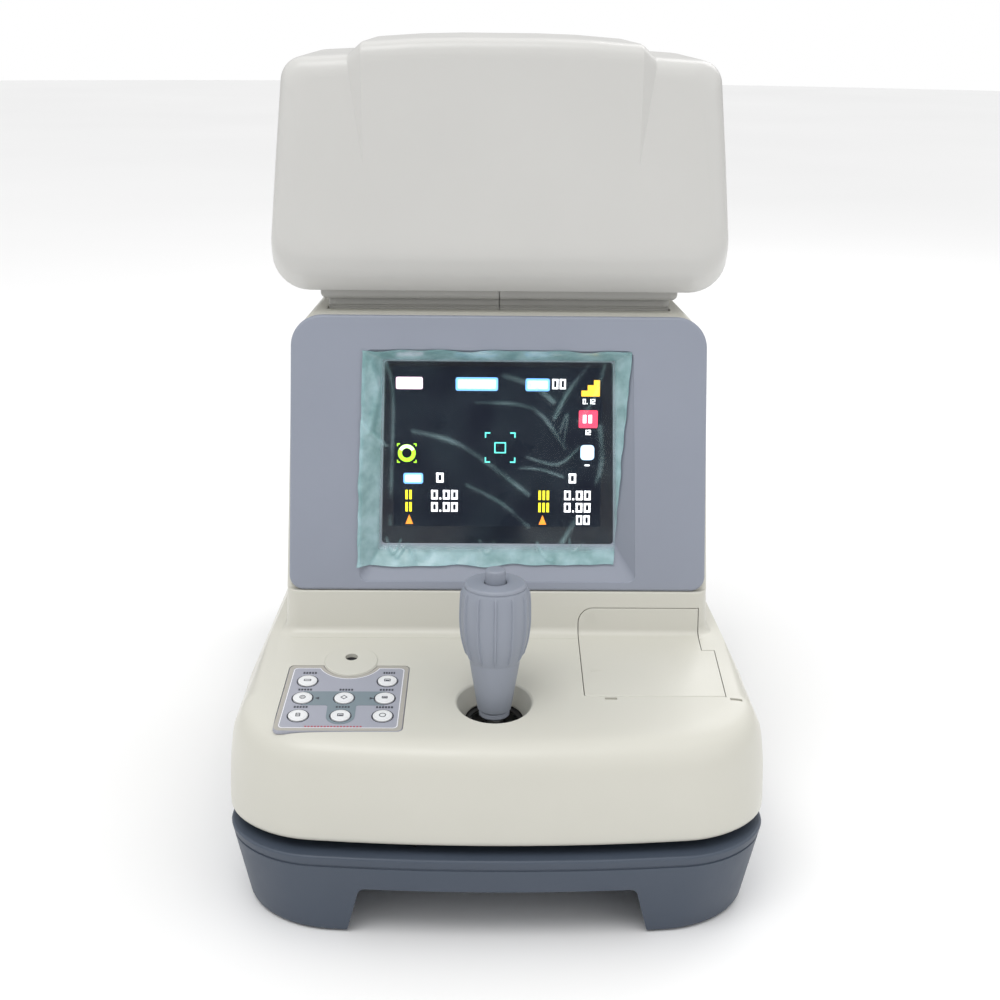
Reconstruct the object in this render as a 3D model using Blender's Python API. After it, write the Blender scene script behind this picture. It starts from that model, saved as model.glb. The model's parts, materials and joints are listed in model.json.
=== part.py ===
"""Autorefractor: a measuring head on a sliding stage, over a base with a face rest.

Axes: +X to the operator's right, +Y away from the operator and towards the patient, +Z up.
The origin is the centre of the underside of the whole instrument.
Lengths in this file are millimetres. A point is (x, d, z), where d is the distance behind the
front edge of the base, and place() turns it into metres in the object's own frame.
"""
import math

import bmesh
import bpy
from mathutils import Matrix, Vector

MM = 0.001
GAP = 0.3                       # clearance between pieces that touch on the real instrument

# ---- driving dimensions -------------------------------------------------------------------
LENGTH = 480.0                  # front edge of the base to the patient's side
STAGE_HALF = 140.0
FRONT_RADIUS = 44.0
REAR_RADIUS = 30.0
FRONT_BOW = 12.0                # how far the front edge curves back at its ends
BOW_FADE = 90.0                 # and how far back the bow dies out
FRONT_STEPS = (-84.0, -56.0, -28.0, 0.0, 28.0, 56.0, 84.0)

BASE_HALF = 139.5
BASE_BOTTOM = 0.6
BASE_TOP = 47.0
BASE_WALL = 3.0
BASE_FLOOR = 5.0
BASE_TAPER = 8.5                # how much narrower the skirt is at the bottom, each side
NOTCH_TOP = 28.0
NOTCH_HALF_TOP = 70.0
NOTCH_HALF_BOTTOM = 77.5
FLANGE = 3.0
WELL_HALF = 92.0                # half-width of the opening over the cross slide
WELL_FRONT, WELL_BACK = 112.0, 340.0
SIDE_ARCH_TOP = 13.0
PLATE_BOTTOM, PLATE_TOP = 30.9, 32.9
FOOT_RADIUS, FOOT_POCKET = 11.0, 3.0
FOOT_X, FOOT_FRONT_D, FOOT_REAR_D = 101.0, 45.0, 440.0

SHAFT_D, SHAFT_Z, SHAFT_RADIUS = 226.0, 46.0, 4.0
PITCH_RADIUS = 8.0
PINION_TEETH = 12
PINION_X = 80.0
TOOTH_PITCH = 2 * math.pi * PITCH_RADIUS / PINION_TEETH
TOOTH_RISE = 0.9
TOOTH_ROOT = 1.6
RACK_TEETH = 17

STAGE_BOTTOM = 52.5
STAGE_BACK = 350.0
STAGE_WALL = 3.0
DECK_WALL = 4.0
DECK_CREST_D, DECK_CREST_Z = 14.0, 103.0
DECK_TILT = math.radians(8.3)
# share of the height, half-width, front edge, from the rim up to the deck
STAGE_PROFILE = ((0.0, 139.6, 5.8), (0.07, 140.0, 5.2), (0.5, 139.0, 6.6), (0.76, 137.2, 9.0),
                 (0.9, 134.2, 12.6), (0.97, 130.6, 17.0), (1.0, 126.0, 22.0))
STAGE_PLATE = (56.0, 59.0)
SIDE_LEAN_Z, SIDE_LEAN = 90.0, 0.48         # the sides lean in above this height
REAR_TAPER_D, REAR_TAPER = 110.0, 0.035     # and behind this distance

FACE_TILT = math.radians(8.15)
FOOT_D, FOOT_Z = 123.1, 119.1   # where the tower's face meets the deck
TOWER_HALF_LOW, TOWER_HALF_TOP = 118.0, 112.6
TOWER_SPLIT, TOWER_BACK = 240.0, 345.0
TOWER_SHOULDER, TOWER_TOP = 281.5, 297.0
TOWER_CHAMFER = 14.0
FRONT_SHARE = 0.64              # the chamfer's depth at the front, as a share of the sides'
TOWER_TAPER_D, TOWER_TAPER = 152.0, 0.055   # the tower narrows behind this distance
TOWER_TOP_HALF = 96.6           # but leaves this much round the neck
STRIP_HEIGHT = 23.6             # plain strip of the tower below the monitor bezel
BEZEL_SEAT = 4.0

NECK_HALF, NECK_FRONT, NECK_BACK = 94.0, 166.0, 322.0
NECK_WALL = 2.5
SKIRT_OUT = 4.0                 # how far the moving skirt stands outside the fixed collar

HEAD_FRONT, HEAD_SPLIT, HEAD_BACK = 140.0, 250.0, 396.0
HEAD_BOTTOM, HEAD_TOP = 305.0, 437.8
HEAD_CHIN = 325.0               # where the lower chamfer starts on the face
HEAD_HALF_AT_CHIN = 122.7
HEAD_SIDE_LEAN = 0.088
SHOULDER_LOW_Z, SHOULDER_Z = 426.6, 428.6
HOOD_STEP_OUT, HOOD_STEP_IN = 79.5, 72.0
HOOD_EDGE_Z = 435.0
AXIS_Z = 358.0                  # the measuring axis

STICK_X, STICK_D, BALL_Z = -2.0, 55.4, 60.0
BALL_RADIUS = 11.0
WELL_RIM, WELL_THROAT, WELL_DEPTH = 20.0, 15.2, 11.0
GRIP_BOTTOM, GRIP_TOP = 105.0, 175.0
BUTTON_RADIUS, BUTTON_TOP = 5.2, 182.0

KEY_RADIUS = 5.0
KEYS = {"key_reset": (-100.5, 73.5), "key_menu": (-58.4, 73.8), "key_side": (-101.5, 57.4),
        "key_step": (-80.0, 57.4), "key_auto": (-58.9, 57.4), "key_print": (-102.2, 41.2),
        "key_data": (-80.6, 41.2), "key_display": (-59.1, 41.2)}
PAD_CORNERS = ((-113.9, 27.9), (-48.6, 27.9), (-47.3, 88.9), (-111.2, 88.9))
PAD_THICK, PAD_RECESS = 2.0, 2.3
LOCK_X, LOCK_D = -79.0, 93.5

LID_LEFT, LID_RIGHT, LID_DECK_RIGHT = 45.4, 112.0, 119.0
LID_FRONT, LID_AXIS_D, LID_STEP_D, LID_TOP_Z = 60.6, 61.8, 106.0, 133.4
LID_THICK = 2.5
BAY = (46.5, 117.5, 66.0, 128.0, 62.0, 103.0)
ROLL_D, ROLL_Z, ROLL_RADIUS = 92.0, 86.0, 20.0

LIFT_D, ROD_X, ROD_RADIUS = 250.0, 45.0, 5.0
SCREW_RADIUS = 4.0

COLUMN_X, COLUMN_D = 115.0, 450.0
COLUMN_WIDE, COLUMN_DEEP = 12.0, 16.0
ARCH_TOP, ARCH_RADIUS = 412.0, 34.0
REST_BLOCK = (385.0, 474.0, 47.3, 74.0)
GUIDE_TOP, CUP_FLOOR = 190.0, 236.0

# ---- colours ------------------------------------------------------------------------------
CREAM = ((0.76, 0.745, 0.67), 0.38, 0.0)
HEAD_GREY = ((0.74, 0.735, 0.70), 0.34, 0.0)
NECK_GREY = ((0.50, 0.51, 0.50), 0.45, 0.0)
SLATE = ((0.088, 0.112, 0.158), 0.5, 0.0)
BEZEL_BLUE = ((0.30, 0.345, 0.44), 0.42, 0.0)
STICK_BLUE = ((0.205, 0.245, 0.30), 0.45, 0.0)
PAD_LILAC = ((0.50, 0.50, 0.55), 0.4, 0.0)
KEY_WHITE = ((0.78, 0.78, 0.78), 0.3, 0.0)
BLACK = ((0.02, 0.02, 0.022), 0.4, 0.0)
GLASS_BLACK = ((0.01, 0.012, 0.02), 0.1, 0.0)
RUBBER = ((0.03, 0.03, 0.03), 0.85, 0.0)
STEEL = ((0.55, 0.56, 0.58), 0.3, 1.0)
BRASS = ((0.70, 0.52, 0.22), 0.35, 1.0)
ALLOY = ((0.60, 0.61, 0.62), 0.45, 1.0)
BOARD = ((0.03, 0.20, 0.10), 0.5, 0.0)
PAPER = ((0.86, 0.86, 0.83), 0.8, 0.0)
SILICONE = ((0.62, 0.66, 0.70), 0.6, 0.0)


# ---- points and outlines ------------------------------------------------------------------
def place(point):
    """A point in millimetres, measured from the front edge, in metres about the centre."""
    x, d, z = point
    return Vector((x, d - LENGTH / 2, z)) * MM


def deck_z(d):
    """Height of the deck: it rises to the tower's foot, and is level beside the tower."""
    return DECK_CREST_Z + math.tan(DECK_TILT) * (min(d, FOOT_D) - DECK_CREST_D)


def deck_point(x, d, rise=0.0):
    """A point above the deck at (x, d), moved along the deck's normal."""
    return (x, d - rise * math.sin(DECK_TILT), deck_z(d) + rise * math.cos(DECK_TILT))


def face_point(x, up, inward=0.0):
    """A point on the tower's leaning face: up the face from the deck, and into the tower."""
    return (x, FOOT_D + up * math.sin(FACE_TILT) + inward * math.cos(FACE_TILT),
            FOOT_Z + up * math.cos(FACE_TILT) - inward * math.sin(FACE_TILT))


def face_d(z):
    return FOOT_D + (z - FOOT_Z) * math.tan(FACE_TILT)


def outline(corners, steps=3):
    """A closed outline in two coordinates, with each (u, v, radius) corner rounded by an arc."""
    points = []
    count = len(corners)
    for i, (u, v, radius) in enumerate(corners):
        here = Vector((u, v))
        if radius == 0:
            points.append((u, v))
            continue
        before = (Vector(corners[i - 1][:2]) - here).normalized()
        after = (Vector(corners[(i + 1) % count][:2]) - here).normalized()
        half = before.angle(after) / 2
        centre = here + (before + after).normalized() * (radius / math.sin(half))
        start = here + before * (radius / math.tan(half)) - centre
        end = here + after * (radius / math.tan(half)) - centre
        sweep = start.angle_signed(end)
        for k in range(steps + 1):
            spoke = Matrix.Rotation(-sweep * k / steps, 2) @ start
            points.append(tuple(centre + spoke))
    return points


def rounded_box(low_u, high_u, low_v, high_v, radius, steps=3):
    return outline([(high_u, low_v, radius), (high_u, high_v, radius),
                    (low_u, high_v, radius), (low_u, low_v, radius)], steps)


def bowed_plan(half, front, back, front_radius, back_radius, bow, steps=3):
    """A plan outline whose front edge is bowed towards the operator."""
    corners = [(half, front, front_radius), (half, FOOT_D, 0), (half, back, back_radius),
               (-half, back, back_radius), (-half, FOOT_D, 0), (-half, front, front_radius)]
    points = outline(corners, steps)
    reach = (half - front_radius) / (STAGE_HALF - FRONT_RADIUS)
    points += [(x * reach, front) for x in FRONT_STEPS]
    return [(x, d + bow * (x / half) ** 2 * max(0.0, 1 - (d - front) / BOW_FADE))
            for x, d in points]


def circle(radius, count=16, phase=0.0):
    return [(radius * math.cos(2 * math.pi * k / count + phase),
             radius * math.sin(2 * math.pi * k / count + phase)) for k in range(count)]


# ---- shapes: each returns its points and faces --------------------------------------------
def loft(rings, closed=False, fold=None):
    """Bridges rings that have the same number of points; closed joins the last to the first.
    fold names two places on the last ring, between which its cap is folded."""
    size, levels = len(rings[0]), len(rings)
    points = [p for ring in rings for p in ring]
    faces = []
    for level in range(levels if closed else levels - 1):
        low, high = level * size, (level + 1) % levels * size
        for i in range(size):
            j = (i + 1) % size
            faces.append((low + i, low + j, high + j, high + i))
    if not closed:
        faces.append(tuple(reversed(range(size))))
        last = list(range((levels - 1) * size, levels * size))
        if fold is None:
            faces.append(tuple(last))
        else:
            a, b = sorted(fold)
            faces.append(tuple(last[a:b + 1]))
            faces.append(tuple(last[b:] + last[:a + 1]))
    return points, faces


def prism(plan, low, high):
    """A plan outline in (x, d), raised from one height to another."""
    return loft([[(x, d, z) for x, d in plan] for z in (low, high)])


def side_prism(profile, left, right):
    """A side outline in (d, z), drawn out along X."""
    return loft([[(x, d, z) for d, z in profile] for x in (left, right)])


def box(low, high):
    (x0, d0, z0), (x1, d1, z1) = low, high
    return prism([(x1, d0), (x1, d1), (x0, d1), (x0, d0)], z0, z1)


def turned(profile, centre, axis="z", count=16, bored=False):
    """Turns (radius, height) points about an axis through centre; bored closes the profile."""
    rings = []
    for radius, height in profile:
        ring = []
        for a, b in circle(radius, count):
            offset = {"z": (a, b, height), "x": (height, a, b), "y": (a, height, b)}[axis]
            ring.append(tuple(c + o for c, o in zip(centre, offset)))
        rings.append(ring)
    return loft(rings, closed=bored)


# ---- objects ------------------------------------------------------------------------------
def paint(name, look):
    colour, roughness, metallic = look
    material = bpy.data.materials.new(name)
    material.use_nodes = True
    shader = material.node_tree.nodes["Principled BSDF"]
    shader.inputs["Base Color"].default_value = (*colour, 1.0)
    shader.inputs["Roughness"].default_value = roughness
    shader.inputs["Metallic"].default_value = metallic
    return material


def solid(name, shape, look, origin=(0.0, LENGTH / 2, 0.0), axis=None):
    """One named object; origin is a point on its joint axis where the piece moves."""
    points, faces = shape
    centre = place(origin)
    turn = Matrix.Identity(3)
    if axis is not None:
        turn = Vector((0, 0, 1)).rotation_difference(Vector(axis)).to_matrix()
    mesh = bpy.data.meshes.new(name)
    mesh.from_pydata([turn.inverted() @ (place(p) - centre) for p in points], [], faces)
    form = bmesh.new()
    form.from_mesh(mesh)
    bmesh.ops.recalc_face_normals(form, faces=form.faces)
    form.to_mesh(mesh)
    form.free()
    mesh.shade_smooth()
    mesh.set_sharp_from_angle(angle=math.radians(35))
    piece = bpy.data.objects.new(name, mesh)
    piece.location = centre
    piece.rotation_euler = turn.to_euler()
    bpy.context.scene.collection.objects.link(piece)
    if look is not None:
        mesh.materials.append(paint(name, look))
    return piece


def tool(piece, shape, operation="DIFFERENCE"):
    """Cuts a shape out of a piece, or joins it on, with a Boolean and a hidden tool object."""
    number = sum(m.type == "BOOLEAN" for m in piece.modifiers)
    guide = solid("{}_tool_{}".format(piece.name, number), shape, None)
    guide.hide_render = True
    guide.display_type = "WIRE"
    step = piece.modifiers.new("tool", "BOOLEAN")
    step.object = guide
    step.operation = operation
    step.solver = "EXACT"


def join(piece, shape):
    tool(piece, shape, "UNION")


# ---- base ---------------------------------------------------------------------------------
def base_ring(z, inset=0.0):
    drop = (BASE_TOP - z) / BASE_TOP
    half = BASE_HALF - BASE_TAPER * drop - inset
    front = 0.5 + 7.0 * drop + inset
    back = LENGTH - 0.5 - 7.0 * drop - inset
    plan = bowed_plan(half, front, back, FRONT_RADIUS - inset, REAR_RADIUS - inset, FRONT_BOW - 1)
    return [(x, d, z) for x, d in plan]


def notch(grow=0.0):
    """The tunnel between the feet, wider at the floor, from front to back."""
    top = NOTCH_TOP + grow
    profile = [(NOTCH_HALF_BOTTOM + grow + 1, -6), (NOTCH_HALF_TOP + grow, top),
               (-NOTCH_HALF_TOP - grow, top), (-NOTCH_HALF_BOTTOM - grow - 1, -6)]
    return loft([[(x, d, z) for x, z in profile] for d in (-20.0, LENGTH + 20)])


def side_arch(grow=0.0):
    top = SIDE_ARCH_TOP + grow
    profile = [(112 - grow, -6), (376 + grow, -6), (362 + grow, top), (126 - grow, top)]
    return side_prism(profile, -160, 160)


def make_base_housing():
    rings = [base_ring(BASE_BOTTOM, 1.2), base_ring(3.4), base_ring(BASE_TOP - 6),
             base_ring(BASE_TOP - 1.2), base_ring(BASE_TOP, 1.2)]
    housing = solid("base_housing", loft(rings), SLATE)
    tool(housing, notch())
    tool(housing, side_arch())
    hollow_name = "base_hollow"
    hollow = solid(hollow_name, loft([base_ring(BASE_FLOOR, BASE_WALL),
                                      base_ring(BASE_TOP - FLANGE, BASE_WALL)]), None)
    hollow.hide_render = True
    hollow.display_type = "WIRE"
    tool(hollow, notch(BASE_WALL - 0.4))
    tool(hollow, side_arch(BASE_WALL))
    cut = housing.modifiers.new("hollow", "BOOLEAN")
    cut.object = hollow
    cut.operation = "DIFFERENCE"
    cut.solver = "EXACT"
    tool(housing, box((-WELL_HALF, WELL_FRONT, 40), (WELL_HALF, WELL_BACK, 60)))
    tool(housing, box((-160, 404.2, 13.8), (-120, 430.4, 35.2)))
    tool(housing, box((-160, 438.7, 17.7), (-120, 453.3, 31.3)))
    for x in (-FOOT_X, FOOT_X):
        for d in (FOOT_FRONT_D, FOOT_REAR_D):
            radius = FOOT_RADIUS + GAP
            tool(housing, turned([(radius, -5.0), (radius, FOOT_POCKET)], (x, d, 0.0), count=20))


def make_base_plate():
    plan = rounded_box(-70.0, 70.0, 90.0, 350.0, 8)
    plan_wide = rounded_box(-WELL_HALF + 4, WELL_HALF - 4, 120.0, 332.0, 8)
    plate = solid("base_plate", prism(plan_wide, PLATE_BOTTOM, PLATE_TOP), STEEL)
    join(plate, prism(plan, PLATE_BOTTOM, PLATE_TOP))


def make_feet():
    for side, x in (("left", -FOOT_X), ("right", FOOT_X)):
        for end, d in (("front", FOOT_FRONT_D), ("rear", FOOT_REAR_D)):
            profile = [(FOOT_RADIUS - 0.4, 0.0), (FOOT_RADIUS, 0.4),
                       (FOOT_RADIUS, FOOT_POCKET - GAP)]
            solid("foot_{}_{}".format(end, side), turned(profile, (x, d, 0.0), count=20), RUBBER)


def make_racks():
    """Toothed bars on the base plate, one under each pinion."""
    pitch_z = SHAFT_Z - PITCH_RADIUS
    for side, x in (("left", -PINION_X), ("right", PINION_X)):
        crown = []
        for k in range(RACK_TEETH):
            centre = SHAFT_D + (k - (RACK_TEETH - 1) / 2 + 0.5) * TOOTH_PITCH
            crown += [(centre - 0.26 * TOOTH_PITCH, pitch_z - TOOTH_ROOT),
                      (centre - 0.1 * TOOTH_PITCH, pitch_z + TOOTH_RISE),
                      (centre + 0.1 * TOOTH_PITCH, pitch_z + TOOTH_RISE),
                      (centre + 0.26 * TOOTH_PITCH, pitch_z - TOOTH_ROOT)]
        low = PLATE_TOP + GAP
        profile = [(crown[-1][0] + 2, low), (crown[-1][0] + 2, pitch_z - TOOTH_ROOT)]
        profile += list(reversed(crown))
        profile += [(crown[0][0] - 2, pitch_z - TOOTH_ROOT), (crown[0][0] - 2, low)]
        solid("rack_" + side, side_prism(profile, x - 4, x + 4), STEEL)


def make_friction_plate():
    plan = rounded_box(STICK_X - 46, STICK_X + 46, STICK_D - 26, STICK_D + 32, 6)
    solid("friction_plate", prism(plan, BASE_TOP + GAP, BASE_TOP + GAP + 1.1), BLACK)


def make_power_inlet():
    """Mains inlet in the left wall, with a flange outside and three blades in its socket."""
    wall = -137.4
    inlet = solid("power_inlet", box((wall + 4, 405.3, 15), (-118, 429.3, 34)), BLACK)
    join(inlet, box((wall - 1.6, 404.6, 14.2), (wall + 4.4, 430.0, 34.8)))
    tool(inlet, box((wall - 5, 407.3, 17), (-121.5, 427.3, 32)))
    for d, z in ((412.3, 27.5), (417.3, 28.5), (422.3, 27.5)):
        join(inlet, box((wall + 3, d - 0.8, z - 1.4), (-120, d + 0.8, z + 2)))


def make_power_switch():
    pivot = (-137.0, 446.0, 24.5)
    profile = [(-134.9, 0), (-136.6, -5.6), (-138.8, -5.6), (-137.9, 0), (-138.8, 5.6), (-136.6, 5.6)]
    rings = [[(x, d, pivot[2] + z) for x, z in profile] for d in (440.0, 452.0)]
    solid("power_switch", loft(rings), BLACK, pivot)


# ---- face rest ----------------------------------------------------------------------------
def make_face_rest():
    front, back, low, high = REST_BLOCK
    rings = [[(x, d, z) for x, d in rounded_box(-128 + i, 128 - i, front + i, back - i, 14)]
             for z, i in ((low, 0.0), (high - 5, 1.5), (high - 1.5, 3.0), (high, 6.0))]
    solid("face_rest_base", loft(rings), CREAM)

    path = [(COLUMN_X, high + GAP)]
    centre_x, centre_z = COLUMN_X - ARCH_RADIUS, ARCH_TOP - COLUMN_WIDE / 2 - ARCH_RADIUS
    for k in range(9):
        angle = math.pi / 2 * k / 8
        path.append((centre_x + ARCH_RADIUS * math.cos(angle),
                     centre_z + ARCH_RADIUS * math.sin(angle)))
    path += [(-x, z) for x, z in reversed(path)]
    section = rounded_box(-COLUMN_WIDE / 2, COLUMN_WIDE / 2, -COLUMN_DEEP / 2, COLUMN_DEEP / 2, 4, 2)
    rings = []
    for i, (x, z) in enumerate(path):
        before, after = path[max(i - 1, 0)], path[min(i + 1, len(path) - 1)]
        along = Vector((after[0] - before[0], after[1] - before[1])).normalized()
        outward = Vector((along[1], -along[0]))
        rings.append([(x + u * outward[0], COLUMN_D + v, z + u * outward[1]) for u, v in section])
    solid("face_rest_frame", loft(rings), CREAM)

    rings = []
    pad_d = COLUMN_D + COLUMN_DEEP / 2 + GAP
    for x in (-58.0, -56.0, -48.0, -24.0, 0.0, 24.0, 48.0, 56.0, 58.0):
        slim = 3.0 if abs(x) > 57 else 0.0
        thick = 7.0 - 2.5 * (1 - (x / 58.0) ** 2) - slim
        ring = rounded_box(pad_d, pad_d + thick, 396 - 8 + slim / 2, 412 - 3 - slim / 2, 1.9, 2)
        rings.append([(x, d, z) for d, z in ring])
    solid("forehead_pad", loft(rings), SILICONE)


def make_chin_rest():
    low = REST_BLOCK[3] + GAP
    outer = rounded_box(-14, 14, COLUMN_D - 22, COLUMN_D + 2, 5)
    inner = rounded_box(-9, 9, COLUMN_D - 17, COLUMN_D - 3, 2)
    guide = [[(x, d, z) for x, d in plan] for plan, z in
             ((outer, low), (outer, GUIDE_TOP), (inner, GUIDE_TOP), (inner, low))]
    solid("chin_guide", loft(guide, closed=True), CREAM)
    post = rounded_box(-8.6, 8.6, COLUMN_D - 16.6, COLUMN_D - 3.4, 1.6)
    middle = (0.0, COLUMN_D - 10, GUIDE_TOP)
    solid("chin_post", prism(post, 110, CUP_FLOOR - 3 - GAP), STEEL, middle)

    rings = []
    for x, rim in ((-38, 9.0), (-35.0, 11.0), (-28.0, 6.5), (-16.0, 1.6), (0.0, 0.0),
                   (16.0, 1.6), (28.0, 6.5), (35.0, 11.0), (38, 9.0)):
        end = 5.0 if abs(x) > 37 else 0.0
        under = CUP_FLOOR - 3 + max(0.0, rim - 4)
        front, back = COLUMN_D - 32 + end, COLUMN_D + 12 - end
        top = CUP_FLOOR + rim
        rings.append([(x, front + 3, under), (x, back - 3, under), (x, back, under + 2),
                      (x, back, top + 1), (x, back - 6, top), (x, front + 9, top),
                      (x, front + 4, top + 4), (x, front, top + 3.4), (x, front, under + 2)])
    solid("chin_cup", loft(rings), CREAM, middle)

    grooves = 12
    rings = []
    for x, size in ((14.3, 7.0), (18.0, 7.0), (18.6, 12.0), (29.0, 12.0), (30.0, 11.0)):
        ring = []
        for k in range(2 * grooves):
            radius = size - (0.9 if k % 2 and size > 10 else 0.0)
            angle = math.pi * k / grooves
            ring.append((x, middle[1] + radius * math.cos(angle), 150 + radius * math.sin(angle)))
        rings.append(ring)
    solid("chin_knob", loft(rings), BLACK, (14.3, middle[1], 150))


# ---- cross slide --------------------------------------------------------------------------
def make_cross_slide():
    frame = solid("carriage_frame", box((-66, 200, 51.0), (66, 252, 53.6)), ALLOY)
    for x in (-66, 60):
        join(frame, box((x, 214, 37.5), (x + 6, 238, 52)))
    for d in (203, 243):
        join(frame, box((-64, d, 53), (64, d + 6, 55.6)))
    bore = turned([(SHAFT_RADIUS + 0.5, -80), (SHAFT_RADIUS + 0.5, 80)],
                  (0, SHAFT_D, SHAFT_Z), "x")
    tool(frame, bore)

    origin = (0, SHAFT_D, SHAFT_Z)
    bar = [(SHAFT_RADIUS - 0.5, -88), (SHAFT_RADIUS, -87.5), (SHAFT_RADIUS, 87.5),
           (SHAFT_RADIUS - 0.5, 88)]
    solid("cross_shaft", turned(bar, origin, "x"), STEEL, origin)
    for side, x in (("left", -PINION_X), ("right", PINION_X)):
        teeth, bore_ring = [], []
        for k in range(PINION_TEETH):
            middle = -math.pi / 2 + 2 * math.pi * k / PINION_TEETH
            root, tip = PITCH_RADIUS - TOOTH_ROOT, PITCH_RADIUS + TOOTH_RISE
            for radius, shift in ((root, -0.26), (tip, -0.1), (tip, 0.1), (root, 0.26)):
                angle = middle + shift * TOOTH_PITCH / PITCH_RADIUS
                teeth.append((radius * math.cos(angle), radius * math.sin(angle)))
                hole = SHAFT_RADIUS + GAP
                bore_ring.append((hole * math.cos(angle), hole * math.sin(angle)))
        rings = [[(x + w, SHAFT_D + a, SHAFT_Z + b) for a, b in ring]
                 for ring, w in ((teeth, -3.5), (teeth, 3.5), (bore_ring, 3.5), (bore_ring, -3.5))]
        solid("pinion_" + side, loft(rings, closed=True), BRASS, origin)


# ---- stage and tower ----------------------------------------------------------------------
def stage_ring(half, front, height, wall=0.0):
    """height is a function of d, so that the upper rings follow the sloping deck."""
    inset = STAGE_HALF - half
    plan = bowed_plan(half, front, STAGE_BACK - inset, FRONT_RADIUS - inset * 0.6,
                      REAR_RADIUS - inset * 0.6, FRONT_BOW)
    ring = []
    for x, d in plan:
        z = height(d)
        widest = STAGE_HALF - wall - SIDE_LEAN * max(0.0, z - SIDE_LEAN_Z)
        widest -= REAR_TAPER * max(0.0, d - REAR_TAPER_D)
        ring.append((math.copysign(min(abs(x), widest), x), d, z))
    return ring


def stage_loft(rings):
    """The top face is folded across the deck at the tower's foot."""
    fold = [i for i, point in enumerate(rings[-1]) if abs(point[1] - FOOT_D) < 0.001]
    return loft(rings, fold=fold)


def stage_body():
    rings = []
    for share, half, front in STAGE_PROFILE:
        rings.append(stage_ring(half, front, lambda d, s=share: (1 - s) * STAGE_BOTTOM + s * deck_z(d)))
    return stage_loft(rings)


def stage_hollow():
    wall = DECK_WALL
    rings = [stage_ring(136.6, 8.8, lambda d: STAGE_BOTTOM - 8, STAGE_WALL),
             stage_ring(135.4, 10.4, lambda d: 0.24 * STAGE_BOTTOM + 0.76 * deck_z(d) - 4, wall),
             stage_ring(128.5, 20.0, lambda d: deck_z(d) - DECK_WALL, wall)]
    return stage_loft(rings)


def tower_half(z, d, chamfer=0.0):
    """Half-width of the tower, which narrows upwards and towards the rear."""
    share = (z - FOOT_Z) / (TOWER_TOP - FOOT_Z)
    half = TOWER_HALF_LOW + share * (TOWER_HALF_TOP - TOWER_HALF_LOW)
    half -= TOWER_TAPER * max(0.0, d - TOWER_TAPER_D)
    return max(half - chamfer, min(half, TOWER_TOP_HALF))


def tower_front_ring(z, seat=0.0, chamfer=0.0, back=TOWER_SPLIT, wall=0.0):
    front = face_d(z) + seat + wall + chamfer * FRONT_SHARE
    near, far = tower_half(z, front, chamfer) - wall, tower_half(z, back, chamfer) - wall
    plan = outline([(near, front, 7 - seat), (far, back, 0), (-far, back, 0),
                    (-near, front, 7 - seat)], 3)
    return [(x, d, z) for x, d in plan]


def tower_rear_ring(z, chamfer=0.0, front=TOWER_SPLIT + GAP, wall=0.0, lean=6.0):
    back = TOWER_BACK - wall - chamfer - lean * (z - FOOT_Z) / (TOWER_TOP - FOOT_Z)
    near, far = tower_half(z, front, chamfer) - wall, tower_half(z, back, chamfer) - wall
    radius = 20 - wall - chamfer
    plan = outline([(near, front, 0), (far, back, radius), (-far, back, radius),
                    (-near, front, 0)], 4)
    return [(x, d, z) for x, d in plan]


def neck_opening(low, high, grow=0.4):
    return box((-NECK_HALF - grow, NECK_FRONT - grow, low), (NECK_HALF + grow, NECK_BACK + grow, high))


def lid_profile():
    """Side outline of the printer lid, along the deck and up the tower's face."""
    top_d = face_d(LID_TOP_Z)
    return [(LID_FRONT, deck_z(LID_FRONT) - LID_THICK), (FOOT_D + LID_THICK, deck_z(FOOT_D) - LID_THICK),
            (top_d + LID_THICK, LID_TOP_Z), (top_d, LID_TOP_Z), (FOOT_D, deck_z(FOOT_D)),
            (LID_FRONT, deck_z(LID_FRONT))]


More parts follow.
